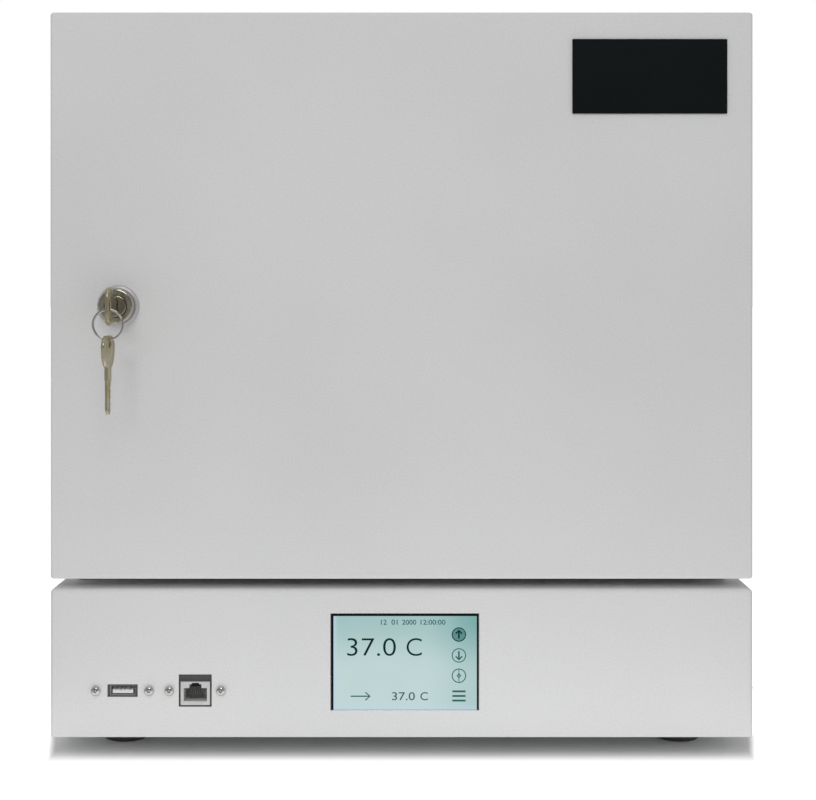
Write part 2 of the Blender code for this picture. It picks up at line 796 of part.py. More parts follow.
def socket_box(name, x, z_low, w, h, y_from, y_to):
    return box(name, (x - w / 2, y_from, z_low), (x + w / 2, y_to, z_low + h))


def make_ports():
    rim = FRONT_Y + PORT_BACK
    open_y = rim - PAST

    plate, holes = port_plate("usb_jack", USB_X, USB_PLATE_H, USB_SCREWS, STEEL)
    w = USB_SHELL_W
    h = USB_SHELL_H
    low = PORT_Z - h / 2
    body = socket_box("usb_body", USB_X, low, w, h, rim, rim + USB_BODY_L)
    hole_w = w - 2 * USB_LIP_T
    hole_h = h - 2 * USB_LIP_T
    hole = socket_box(
        "usb_hole_cut", USB_X, low + USB_LIP_T, hole_w, hole_h, open_y, rim + USB_DEEP
    )
    tongue = socket_box(
        "usb_tongue",
        USB_X,
        PORT_Z - USB_TONGUE_DROP - USB_TONGUE_T / 2,
        USB_TONGUE_W,
        USB_TONGUE_T,
        rim + SWING,
        rim + USB_DEEP + SWING,
    )
    join(plate, body)
    cut(plate, hole, holes)
    join(plate, tongue)

    plate, holes = port_plate("ethernet_jack", NET_X, NET_PLATE_H, NET_SCREWS, STEEL)
    low = PORT_Z - NET_BODY_DROP - NET_BODY_H / 2
    body = socket_box(
        "ethernet_body", NET_X, low, NET_BODY_W, NET_BODY_H, rim, rim + NET_BODY_L
    )
    inner_y = rim + NET_DEEP
    bottom = low + NET_HOLE_UP
    main = socket_box("ethernet_hole_cut", NET_X, bottom, NET_HOLE_W, NET_HOLE_H, open_y, inner_y)
    step_h = NET_HOLE_H + NET_STEP_H
    step = socket_box("ethernet_step_cut", NET_X, bottom, NET_STEP_W, step_h, open_y, inner_y)
    latch_h = step_h + NET_LATCH_H
    latch = socket_box("ethernet_latch_cut", NET_X, bottom, NET_LATCH_W, latch_h, open_y, inner_y)
    join(plate, body)
    cut(plate, main, step, latch, holes)

    # a domed head, as a quarter of an ellipse, then the shank
    dome = arc((0, 0), 1, 90, 0, SCREW_HEAD_STEPS)
    profile = [(max(u, 0) * SCREW_HEAD_D / 2, SEAT + v * SCREW_HEAD_T) for u, v in dome]
    profile[0] = (0, SEAT + SCREW_HEAD_T)
    profile += [(SCREW_D / 2, SEAT), (SCREW_D / 2, SEAT - SCREW_L), (0, SEAT - SCREW_L)]
    for number, x in enumerate(screw_places(), 1):
        place = (x, FRONT_Y, PORT_Z)
        name = f"port_screw_{number}"
        turned(name, [profile], place, SMALL_SIDES, NICKEL, TO_FRONT, closed=False)


# Power supply, switch and mains inlet

def make_power():
    floor = FOOT_H + SHEET + SEAT
    y = BACK_Y - SUPPLY_BACK
    supply = box(
        "power_supply",
        (SUPPLY_X - SUPPLY_W / 2, y - SUPPLY_D, floor),
        (SUPPLY_X + SUPPLY_W / 2, y, floor + SUPPLY_H),
        ZINC,
    )
    bevel(supply, SUPPLY_EDGE)
    make_switch()
    make_inlet()


def make_switch():
    face = HALF_W + SEAT
    housing = box(
        "switch_housing",
        (face, SWITCH_Y - SWITCH_FLANGE_W / 2, SWITCH_Z - SWITCH_FLANGE_H / 2),
        (
            face + SWITCH_FLANGE_T,
            SWITCH_Y + SWITCH_FLANGE_W / 2,
            SWITCH_Z + SWITCH_FLANGE_H / 2,
        ),
        BLACK_PLASTIC,
    )
    body = box(
        "switch_body",
        (
            face - SWITCH_BODY_L,
            SWITCH_Y - SWITCH_BODY_W / 2,
            SWITCH_Z - SWITCH_BODY_H / 2,
        ),
        (face + SWITCH_FLANGE_T / 2, SWITCH_Y + SWITCH_BODY_W / 2, SWITCH_Z + SWITCH_BODY_H / 2),
    )
    pivot = (HALF_W - ROCKER_PIVOT_IN, SWITCH_Y, SWITCH_Z)
    tip_x = ROCKER_CREST + ROCKER_HALF * math.tan(ROCKER_TILT)
    tip_r = math.hypot(tip_x, ROCKER_HALF)
    room_h = tip_r * math.sin(math.atan2(ROCKER_HALF, tip_x) + ROCKER_TILT) + SEAT
    room_w = ROCKER_W / 2 + ROCKER_SIDE
    root = math.hypot(ROCKER_ROOT, ROCKER_HALF) * math.sin(
        math.atan2(ROCKER_ROOT, ROCKER_HALF) + ROCKER_TILT
    )
    well = box(
        "switch_well_cut",
        (pivot[0] - root - SWING, SWITCH_Y - room_w, SWITCH_Z - room_h),
        (face + SWITCH_FLANGE_T + PAST, SWITCH_Y + room_w, SWITCH_Z + room_h),
    )
    reach = ROCKER_W / 2 + ROCKER_PIN_L
    pin_r = ROCKER_PIN_D / 2
    seat = reach + SEAT
    line = [((pivot[0], SWITCH_Y - seat, SWITCH_Z), (pivot[0], SWITCH_Y + seat, SWITCH_Z))]
    pin_seat = rods("switch_pin_cut", line, pin_r + RUN, MEDIUM_SIDES, pivot)
    join(housing, body)
    cut(housing, well, pin_seat)

    # the rocker's section, from its pivot: outward along X and up along Y
    outline = [
        (tip_x, ROCKER_HALF),
        (-ROCKER_ROOT, ROCKER_ROOT_HALF),
        (-ROCKER_ROOT, -ROCKER_ROOT_HALF),
        (tip_x, -ROCKER_HALF),
        (ROCKER_CREST, 0),
    ]
    tilt = Matrix.Rotation(-ROCKER_TILT, 4, "Y")
    place = Matrix.Translation(pivot) @ tilt @ UPRIGHT
    rocker = flat("switch_rocker", [outline], ROCKER_W, place, BLACK_PLASTIC)
    line = [((pivot[0], SWITCH_Y - reach, SWITCH_Z), (pivot[0], SWITCH_Y + reach, SWITCH_Z))]
    join(rocker, rods("rocker_pin", line, pin_r, MEDIUM_SIDES, pivot))
    carry(axis("rocker_axis", pivot), rocker)


def make_inlet():
    face = BACK_Y + SEAT
    inlet = box(
        "power_inlet",
        (INLET_X - INLET_FLANGE_W / 2, face, INLET_Z - INLET_FLANGE_H / 2),
        (INLET_X + INLET_FLANGE_W / 2, face + INLET_FLANGE_T, INLET_Z + INLET_FLANGE_H / 2),
        BLACK_PLASTIC,
    )
    front = face + INLET_FLANGE_T - INLET_BODY_L
    body = box(
        "inlet_body",
        (INLET_X - INLET_W / 2, front, INLET_Z - INLET_H / 2),
        (INLET_X + INLET_W / 2, face + INLET_FLANGE_T / 2, INLET_Z + INLET_H / 2),
    )
    rim = face + INLET_FLANGE_T
    floor = rim - INLET_DEEP
    w = INLET_CAVITY_W / 2
    h = INLET_CAVITY_H / 2
    # the cavity's outline has its two upper corners cut off
    top = h - INLET_CORNER
    side = w - INLET_CORNER
    outline = [(-w, -h), (w, -h), (w, top), (side, h), (-side, h), (-w, top)]
    depth = INLET_DEEP + PAST
    place = Matrix.Translation((INLET_X, floor + depth / 2, INLET_Z)) @ UPRIGHT
    cavity = flat("inlet_cavity_cut", [outline], depth, place)
    pairs = []
    for k in (-1, 0, 1):
        x = INLET_X + k * INLET_PIN_OUT
        z = INLET_Z + (INLET_PIN_OFF if k == 0 else -INLET_PIN_OFF)
        low = (x - INLET_PIN_W / 2, floor - SWING, z - INLET_PIN_H / 2)
        pairs.append((low, (x + INLET_PIN_W / 2, floor + INLET_PIN_L, z + INLET_PIN_H / 2)))
    join(inlet, body)
    cut(inlet, cavity)
    join(inlet, boxes("inlet_pins", pairs, (INLET_X, floor, INLET_Z)))


# Cabinet and chamber

def make_cabinet():
    low = (-CAB_HALF, CAB_FRONT, CAB_LOW)
    high = (CAB_HALF, BACK_Y, CAB_HIGH)
    shell = pan("cabinet_shell", low, high, [(0, 1, 0)], SHEET, POWDER, edge=CABINET_EDGE)
    half = ROOM_HALF + OPENING_OUT
    opening = box(
        "opening_cut",
        (-half, CAB_FRONT - PAST, ROOM_LOW - OPENING_OUT),
        (half, CAB_FRONT + SHEET + PAST, ROOM_HIGH + OPENING_OUT),
    )
    slot_half = CAM_END_R + STRIKE_SLOT_SIDE
    boss_half = CAM_BOSS_R + STRIKE_SLOT_SIDE
    slot = box(
        "strike_slot_cut",
        (LOCK_X - slot_half, CAB_FRONT - PAST, LOCK_Z - CAM_REACH - STRIKE_SLOT_SIDE),
        (LOCK_X + slot_half, CAB_FRONT + SHEET + PAST, LOCK_Z),
    )
    round_line = [
        ((LOCK_X, CAB_FRONT - PAST, LOCK_Z), (LOCK_X, CAB_FRONT + SHEET + PAST, LOCK_Z))
    ]
    centre = (LOCK_X, CAB_FRONT, LOCK_Z)
    round_cut = rods("strike_round_cut", round_line, boss_half, LARGE_SIDES, centre)
    cut(shell, opening, slot, round_cut)

    room_low = (-ROOM_HALF, CAB_FRONT, ROOM_LOW)
    room_high = (ROOM_HALF, ROOM_BACK, ROOM_HIGH)
    front = [(0, -1, 0)]
    liner = pan("chamber_liner", room_low, room_high, front, LINER_T, STEEL, True, LINER_CORNER)
    block = BLOCK_W / 2 + SEAT
    block_hole = box(
        "block_hole_cut",
        (-block, ROOM_BACK - PAST, ROOM_MID - block),
        (block, FOAM_BACK + PAST, ROOM_MID + block),
    )
    cut(liner, block_hole)

    gap = SHEET + SEAT
    foam = box(
        "cabinet_insulation",
        (-CAB_HALF + gap, CAB_FRONT + gap, CAB_LOW + gap),
        (CAB_HALF - gap, FOAM_BACK, CAB_HIGH - gap),
        FOAM,
    )
    half = ROOM_HALF + OPENING_OUT
    pocket = box(
        "chamber_pocket_cut",
        (-half, CAB_FRONT - PAST, ROOM_LOW - OPENING_OUT),
        (half, ROOM_BACK + OPENING_OUT, ROOM_HIGH + OPENING_OUT),
    )
    strike_low, strike_high = strike_room()
    out = STRIKE_T + SEAT
    strike_pocket = box(
        "strike_pocket_cut",
        (strike_low[0] - out, CAB_FRONT, strike_low[2] - out),
        (strike_high[0] + out, strike_high[1] + out, strike_high[2] + out),
    )
    cut(foam, pocket, block_hole, strike_pocket)
    pan("strike_box", strike_low, strike_high, front, STRIKE_T, ZINC, True)

    inner = CAB_HALF - gap
    panel = box(
        "rear_panel",
        (-inner, BACK_Y - SHEET, CAB_LOW + gap),
        (inner, BACK_Y, CAB_HIGH - gap),
        POWDER,
    )
    line = [((0, BACK_Y - SHEET - PAST, ROOM_MID), (0, BACK_Y + PAST, ROOM_MID))]
    centre = (0, BACK_Y, ROOM_MID)
    bore = rods("rear_fan_cut", line, REAR_FAN_W / 2 - FAN_RIM, LARGE_SIDES, centre)
    out_x = HOT_W / 2 + VENT_PANEL_OUT / 2
    slots = [
        slots_cut(f"panel_vent_cut_{n}", side * out_x, ROOM_MID, PANEL_VENTS, VENT_PANEL_H)
        for n, side in enumerate((-1, 1))
    ]
    cut(panel, bore, *slots)


def strike_room():
    """Inside corners of the box that the cam turns in, behind the front sheet."""
    reach = CAM_REACH + STRIKE_ROOM
    near = CAM_BOSS_R + STRIKE_ROOM
    y = CAB_FRONT + SHEET + SEAT
    low = (LOCK_X - reach, y, LOCK_Z - reach)
    return low, (LOCK_X + near, y + STRIKE_DEEP, LOCK_Z + near)


# Shelves and their racks

def make_racks():
    front = CAB_FRONT + RACK_FRONT_IN + PLUG_DEEP - GASKET_SPACE
    back = BAFFLE_Y - RACK_BACK_IN
    top = ROOM_HIGH - RACK_END_IN
    for name, side in (("left", -1), ("right", 1)):
        wall = side * (ROOM_HALF - SEAT)
        skin = side * (ROOM_HALF - SEAT - RACK_T)
        lip = side * (ROOM_HALF - SEAT - LEDGE_W)
        low = (min(wall, skin), front, RACK_LOW)
        rack = box(f"shelf_rack_{name}", low, (max(wall, skin), back, top), STEEL)
        ledges = []
        for level in range(RACK_LEVELS):
            z = ledge_top(level) - LEDGE_T
            inner = skin + side * RACK_T / 2
            ledge_low = (min(inner, lip), front + SWING, z)
            ledges.append((ledge_low, (max(inner, lip), back - SWING, z + LEDGE_T)))
        join(rack, boxes(f"ledges_{name}", ledges, (wall, front, RACK_LOW)))
    half = ROOM_HALF - SEAT - RACK_T - SHELF_SIDE_IN
    for name, level in zip(("shelf_lower", "shelf_upper"), SHELF_LEVELS):
        make_shelf(name, half, front + SHELF_END_IN, back - SHELF_END_IN, ledge_top(level) + SEAT)


def ledge_top(level):
    return RACK_LOW + RACK_FIRST + level * RACK_PITCH


def make_shelf(name, half, front, back, z):
    """A wire frame with cross wires from front to back, lying on two ledges."""
    r = SHELF_FRAME_D / 2
    middle = z + r
    corner = SHELF_CORNER
    path = []
    corners = ((half, back, 0), (-half, back, 90), (-half, front, 180), (half, front, 270))
    for x, y, start in corners:
        cx = x - math.copysign(corner + r, x)
        cy = y - (corner + r if y == back else -corner - r)
        path += list(arc((cx, cy), corner, start, start + 90, SHELF_CORNER_STEPS))
    curve = bpy.data.curves.new(name, "CURVE")
    curve.dimensions = "3D"
    curve.bevel_depth = r
    curve.bevel_resolution = 1
    spline = curve.splines.new("POLY")
    spline.points.add(len(path) - 1)
    for point, (x, y) in zip(spline.points, path):
        point.co = (x, y - (front + back) / 2, 0, 1)
    spline.use_cyclic_u = True
    shelf = bpy.data.objects.new(name, mesh_of(curve))
    shelf.location = (0, (front + back) / 2, middle)
    link(shelf, STEEL, False)
    wire_z = middle + r
    end = r / 2
    lines = []
    for k in range(SHELF_WIRES):
        x = (2 * (k + 1) / (SHELF_WIRES + 1) - 1) * half
        lines.append(((x, front + end, wire_z), (x, back - end, wire_z)))
    wires = rods(name + "_wires", lines, SHELF_WIRE_D / 2, WIRE_SIDES, (0, front, wire_z))
    join(shelf, wires)


# Cooling

def finned(name, base_low, base_high, fins, direction, fin_l, mat):
    """A flat base with upright fins on one face, as extruded heat sinks have."""
    sink = box(name, base_low, base_high, mat)
    w = base_high[0] - base_low[0]
    pairs = []
    for k in range(fins):
        x = base_low[0] + k * (w - FIN_T) / (fins - 1)
        x = min(max(x, base_low[0] + RUN), base_high[0] - RUN - FIN_T)
        if direction > 0:
            y_from, y_to = base_high[1] - SWING, base_high[1] + fin_l
        else:
            y_from, y_to = base_low[1] - fin_l, base_low[1] + SWING
        low = (x, y_from, base_low[2] + RUN)
        pairs.append((low, (x + FIN_T, y_to, base_high[2] - RUN)))
    return join(sink, boxes(name + "_fins", pairs, middle_of(base_low, base_high)))


def make_cooling():
    half_w = COLD_W / 2
    half_h = COLD_H / 2
    low = (-half_w, COLD_BACK - COLD_BASE_T, ROOM_MID - half_h)
    high = (half_w, COLD_BACK, ROOM_MID + half_h)
    finned("cold_sink", low, high, COLD_FINS, -1, COLD_FIN_L, ALUMINIUM)
    half_w = BLOCK_W / 2
    low = (-half_w, ROOM_BACK, ROOM_MID - half_w)
    box("cold_block", low, (half_w, BLOCK_END, ROOM_MID + half_w), ALUMINIUM)
    half_w = MODULE_W / 2
    low = (-half_w, MODULE_Y, ROOM_MID - half_w)
    high = (half_w, MODULE_Y + MODULE_T, ROOM_MID + half_w)
    box("thermoelectric_module", low, high, CERAMIC)
    half_w = HOT_W / 2
    half_h = HOT_H / 2
    low = (-half_w, HOT_Y, ROOM_MID - half_h)
    high = (half_w, HOT_Y + HOT_BASE_T, ROOM_MID + half_h)
    finned("hot_sink", low, high, HOT_FINS, 1, HOT_FIN_L, ALUMINIUM)
    make_fan("inner_fan", INNER_FAN_W, INNER_FAN_Y, 1)
    make_fan("rear_fan", REAR_FAN_W, REAR_FAN_Y, -1)
    make_guard("inner_fan_guard", INNER_FAN_W, BAFFLE_Y, -1)
    make_guard("rear_fan_guard", REAR_FAN_W, BACK_Y, 1)
    make_baffle()


def window_outline(inner_r, outer_r, start, steps):
    """One quarter window between two struts of a fan's spider."""
    inner_a = math.degrees(math.asin(FAN_STRUT_W / 2 / inner_r))
    outer_a = math.degrees(math.asin(FAN_STRUT_W / 2 / outer_r))
    out = list(arc((0, 0), outer_r, start + outer_a, start + 90 - outer_a, steps))
    back = list(arc((0, 0), inner_r, start + 90 - inner_a, start + inner_a, steps))
    return out + back


def make_fan(name, width, front_y, plate_side):
    """A fan whose spider is at its back (+1) or at its front (-1)."""
    half = width / 2
    low = (-half, front_y, ROOM_MID - half)
    high = (half, front_y + FAN_T, ROOM_MID + half)
    bm = bmesh.new()
    add_box(bm, low, high)
    along = [e for e in bm.edges if abs(e.verts[0].co.y - e.verts[1].co.y) > FAN_T / 2]
    bmesh.ops.bevel(bm, geom=along, offset=FAN_CORNER, segments=3, affect="EDGES", profile=0.5)
    frame = make(name + "_frame", bm, middle_of(low, high), BLACK_PLASTIC)
    bore_r = half - FAN_RIM
    back_y = front_y + FAN_T
    plate = (front_y, front_y + FAN_PLATE_T)
    bore = (plate[1], back_y + PAST)
    if plate_side > 0:
        plate = (back_y - FAN_PLATE_T, back_y)
        bore = (front_y - PAST, plate[0])
    middle = (0, front_y, ROOM_MID)
    bore_cut = rods(
        name + "_bore_cut",
        [((0, bore[0], ROOM_MID), (0, bore[1], ROOM_MID))],
        bore_r,
        LARGE_SIDES,
        middle,
    )
    hub_r = FAN_HUB_D / 2
    outlines = [window_outline(hub_r, bore_r - SWING, 45 + 90 * k, 4) for k in range(4)]
    window_place = Matrix.Translation((0, sum(plate) / 2, ROOM_MID)) @ UPRIGHT
    windows = flat(name + "_window_cut", outlines, FAN_PLATE_T + 2 * PAST, window_place)
    holes = []
    out = half - FAN_HOLE_IN
    for sx in (-1, 1):
        for sz in (-1, 1):
            hole = (sx * out, ROOM_MID + sz * out)
            holes.append(((hole[0], front_y - PAST, hole[1]), (hole[0], back_y + PAST, hole[1])))
    corner_cut = rods(name + "_hole_cut", holes, FAN_HOLE_IN / 2, HOLE_SIDES, middle)
    shaft_line = [((0, plate[0] - PAST, ROOM_MID), (0, plate[1] + PAST, ROOM_MID))]
    shaft_r = FAN_SHAFT_D / 2
    shaft_cut = rods(name + "_shaft_cut", shaft_line, shaft_r + RUN, SMALL_SIDES, middle)
    cut(frame, bore_cut, windows, corner_cut, shaft_cut)

    rotor_from = front_y + SWING
    rotor_to = plate[0] - SWING
    shaft_end = plate[1]
    if plate_side < 0:
        rotor_from = plate[1] + SWING
        rotor_to = back_y - SWING
        shaft_end = plate[0]
    rotor_mid = (rotor_from + rotor_to) / 2
    place = (0, rotor_mid, ROOM_MID)
    rotor = rods(
        name + "_rotor",
        [((0, rotor_from, ROOM_MID), (0, rotor_to, ROOM_MID))],
        hub_r,
        LARGE_SIDES,
        place,
        BLACK_PLASTIC,
    )
    shaft = rods(
        name + "_shaft",
        [((0, rotor_mid, ROOM_MID), (0, shaft_end, ROOM_MID))],
        shaft_r,
        SMALL_SIDES,
        place,
    )
    tip_r = bore_r - FAN_TIP_CLEAR
    depth = (rotor_to - rotor_from) / 2 - SWING - BLADE_T
    blades = make_blades(name + "_blades", place, hub_r - BLADE_ROOT_IN, tip_r, depth)
    join(rotor, blades, shaft)
    carry(axis(name + "_axis", place), rotor)


def make_blades(name, place, root_r, tip_r, half_depth):
    """Curved blades: each is a strip of a helix that leans on as it goes out."""
    bm = bmesh.new()
    for blade in range(FAN_BLADES):
        start = 2 * math.pi * blade / FAN_BLADES
        rows = []
        for i in range(BLADE_STEPS + 1):
            share = i / BLADE_STEPS
            r = root_r + (tip_r - root_r) * share
            row = []
            for j in range(BLADE_STEPS + 1):
                t = 2 * j / BLADE_STEPS - 1
                a = start + BLADE_SWEEP * (t + BLADE_LEAN * share)
                lift = half_depth * (1 - BLADE_TAPER * share) * (t + BLADE_CAMBER * (1 - t * t))
                row.append(bm.verts.new((r * math.cos(a), lift, r * math.sin(a))))
            rows.append(row)
        for near, far in zip(rows, rows[1:]):
            for k in range(BLADE_STEPS):
                bm.faces.new((near[k], far[k], far[k + 1], near[k + 1]))
    obj = make(name, bm, (0, 0, 0))
    obj.location = place
    thick = obj.modifiers.new("thick", "SOLIDIFY")
    thick.thickness = BLADE_T
    thick.offset = 0
    return obj


def make_guard(name, width, face_y, side):
    """Wire rings on two crossed bars, with a pad at each end screwed on."""
    r = GUARD_WIRE / 2
    y = face_y + side * (SEAT + r)
    place = (0, y, ROOM_MID)
    loops = []
    for k in range(GUARD_RINGS):
        centre = (GUARD_FIRST + k * GUARD_STEP, 0)
        ring = list(arc(centre, r, 90, -270, GUARD_SIDES))[:-1]
        loops.append(ring)
    guard = turned(name, loops, place, MEDIUM_SIDES, STEEL, TO_FRONT)
    out = width / 2 - FAN_HOLE_IN
    inner = GUARD_BAR_FIRST * math.sqrt(0.5)
    bar_r = GUARD_BAR / 2
    bars = []
    pads = []
    for sx in (-1, 1):
        for sz in (-1, 1):
            start = (sx * inner, y, ROOM_MID + sz * inner)
            x, z = sx * out, ROOM_MID + sz * out
            bars.append((start, (x, y, z)))
            pads.append(((x, y - bar_r, z), (x, y + bar_r, z)))
    bar = rods(name + "_bars", bars, bar_r, WIRE_SIDES, place)
    pad = rods(name + "_pads", pads, GUARD_PAD_D / 2, HOLE_SIDES, place)
    join(guard, bar, pad)


def make_baffle():
    """The sheet in front of the cold sink, with a fan hole and rows of air slots."""
    half = ROOM_HALF - SEAT
    low = (-half, BAFFLE_Y, ROOM_LOW + SEAT)
    high = (half, BAFFLE_Y + BAFFLE_FLANGE, ROOM_HIGH - SEAT)
    baffle = pan("air_baffle", low, high, [(0, 1, 0)], SHEET, STEEL, edge=LINER_CORNER)
    through = (BAFFLE_Y - PAST, BAFFLE_Y + SHEET + PAST)
    line = [((0, through[0], ROOM_MID), (0, through[1], ROOM_MID))]
    centre = (0, BAFFLE_Y, ROOM_MID)
    bore = rods("baffle_fan_cut", line, INNER_FAN_W / 2 - FAN_RIM, LARGE_SIDES, centre)
    pairs = []
    step = 2 * (half - LINER_CORNER - BAFFLE_SLOT_IN) / (BAFFLE_SLOTS - 1)
    for k in range(BAFFLE_SLOTS):
        x = (k - (BAFFLE_SLOTS - 1) / 2) * step
        for z in (low[2] + BAFFLE_SLOT_IN, high[2] - BAFFLE_SLOT_IN - BAFFLE_SLOT_H):
            slot_low = (x - BAFFLE_SLOT_W / 2, through[0], z)
            pairs.append((slot_low, (x + BAFFLE_SLOT_W / 2, through[1], z + BAFFLE_SLOT_H)))
    slots = boxes("baffle_slot_cut", pairs, (0, BAFFLE_Y, ROOM_MID))
    probe_z = ROOM_MID + PROBE_UP
    line = [((PROBE_X, through[0], probe_z), (PROBE_X, through[1], probe_z))]
    place = (PROBE_X, BAFFLE_Y, probe_z)
    hole = rods("probe_cut", line, PROBE_D / 2 + SEAT, SMALL_SIDES, place)
    cut(baffle, bore, slots, hole)

    profile = [
        (0, PROBE_L),
        (PROBE_TIP_D / 2, PROBE_L),
        (PROBE_D / 2, PROBE_L - PROBE_TIP_L),
        (PROBE_D / 2, SEAT + PROBE_NUT_T),
        (PROBE_NUT_D / 2, SEAT + PROBE_NUT_T),
        (PROBE_NUT_D / 2, SEAT),
        (PROBE_D / 2, SEAT),
        (PROBE_D / 2, -PROBE_TAIL),
        (0, -PROBE_TAIL),
    ]
    turned("temperature_probe", [profile], place, SMALL_SIDES, STEEL, TO_FRONT, closed=False)


# Piano hinge

def make_hinge(door):
    place = (HINGE_X, HINGE_Y, HINGE_LOW)
    step = HINGE_H / HINGE_KNUCKLES
    pin_r = HINGE_PIN_D / 2
    tube = [(pin_r + RUN, HINGE_H), (HINGE_R, HINGE_H), (HINGE_R, 0), (pin_r + RUN, 0)]
    face = HINGE_R - HINGE_TUCK
    clear = HINGE_R + RUN
    top = HINGE_LOW + HINGE_H
    leaves = {
        "hinge_leaf_cabinet": (
            (HINGE_X - face, HINGE_Y, HINGE_LOW),
            (HINGE_X - face + HINGE_LEAF_T, HINGE_Y + HINGE_LEAF_W, top),
            1,
        ),
        "hinge_leaf_door": (
            (HINGE_X - HINGE_LEAF_W, HINGE_Y - face, HINGE_LOW),
            (HINGE_X, HINGE_Y - face + HINGE_LEAF_T, top),
            0,
        ),
    }
    for name, (low, high, first_cut) in leaves.items():
        leaf = turned(name, [tube], place, SMALL_SIDES, STEEL)
        plate = box(name + "_plate", low, high)
        gaps = []
        for k in range(first_cut, HINGE_KNUCKLES, 2):
            z_low = HINGE_LOW + k * step - RUN
            z_high = HINGE_LOW + (k + 1) * step + RUN
            if k == 0:
                z_low -= PAST
            if k == HINGE_KNUCKLES - 1:
                z_high += PAST
            gap_low = (HINGE_X - clear, HINGE_Y - clear, z_low)
            gaps.append((gap_low, (HINGE_X + clear, HINGE_Y + clear, z_high)))
        bore = [((HINGE_X, HINGE_Y, HINGE_LOW - PAST), (HINGE_X, HINGE_Y, top + PAST))]
        bore_cut = rods(name + "_bore_cut", bore, pin_r + RUN, SMALL_SIDES, place)
        holes = []
        for k in range(HINGE_HOLES):
            z = HINGE_LOW + (k + 0.5) * HINGE_H / HINGE_HOLES
            out = HINGE_HOLE_OUT
            if first_cut:
                start, end = (low[0] - PAST, HINGE_Y + out, z), (high[0] + PAST, HINGE_Y + out, z)
            else:
                start, end = (HINGE_X - out, low[1] - PAST, z), (HINGE_X - out, high[1] + PAST, z)
            holes.append((start, end))
        hole_cut = rods(name + "_hole_cut", holes, HINGE_HOLE_D / 2, HOLE_SIDES, place)
        join(leaf, plate)
        cut(leaf, boxes(name + "_gap_cut", gaps, place), bore_cut, hole_cut)
        if name == "hinge_leaf_door":
            carry(door, leaf)
    line = [((HINGE_X, HINGE_Y, HINGE_LOW), (HINGE_X, HINGE_Y, top))]
    rods("hinge_pin", line, pin_r, SMALL_SIDES, (HINGE_X, HINGE_Y, HINGE_LOW), STEEL)


# Door

def make_door(door):
    low = (-HALF_W, FRONT_Y, DOOR_LOW)
    high = (HALF_W, DOOR_BACK, DOOR_HIGH)
    skin = pan("door_skin", low, high, [(0, 1, 0)], SHEET, POWDER, edge=DOOR_EDGE)
    barrel = LOCK_BARREL_D / 2 + SEAT
    line = [((LOCK_X, FRONT_Y - PAST, LOCK_Z), (LOCK_X, DOOR_BACK + PAST, LOCK_Z))]
    centre = (LOCK_X, FRONT_Y, LOCK_Z)
    lock_cut = rods("door_lock_cut", line, barrel, FINE_SIDES, centre)
    cut(skin, lock_cut)

    gap = SHEET + SEAT
    half = HALF_W - gap
    liner = make_door_liner(half, DOOR_LOW + gap, DOOR_HIGH - gap)
    cut(liner, lock_cut)

    foam = box(
        "door_insulation",
        (-half, FRONT_Y + gap, DOOR_LOW + gap),
        (half, DOOR_BACK - gap, DOOR_HIGH - gap),
        FOAM,
    )
    side = PLUG_CLEAR + PLUG_TAPER + 2 * gap
    boss = box(
        "foam_boss",
        (-ROOM_HALF + side, DOOR_BACK - gap - SWING, ROOM_LOW + side),
        (ROOM_HALF - side, DOOR_BACK + PLUG_DEEP - gap, ROOM_HIGH - side),
    )
    join(foam, boss)
    cut(foam, lock_cut)

    out = GASKET_IN + GASKET_W
    gasket = box(
        "door_gasket",
        (-ROOM_HALF - out, DOOR_BACK + SEAT, ROOM_LOW - out),
        (ROOM_HALF + out, CAB_FRONT - SEAT, ROOM_HIGH + out),
        GREY_RUBBER,
    )
    inside = box(
        "gasket_cut",
        (-ROOM_HALF - GASKET_IN, DOOR_BACK - PAST, ROOM_LOW - GASKET_IN),
        (ROOM_HALF + GASKET_IN, CAB_FRONT + PAST, ROOM_HIGH + GASKET_IN),
    )
    cut(gasket, inside)
    bevel(gasket, GASKET_EDGE, 2)

    badge = box(
        "badge_plate",
        (BADGE_X - BADGE_W / 2, FRONT_Y - SEAT - BADGE_T, BADGE_Z - BADGE_H / 2),
        (BADGE_X + BADGE_W / 2, FRONT_Y - SEAT, BADGE_Z + BADGE_H / 2),
        BADGE_BLACK,
    )
    bevel(badge, BADGE_EDGE, 2)
    carry(door, skin, liner, foam, gasket, badge)


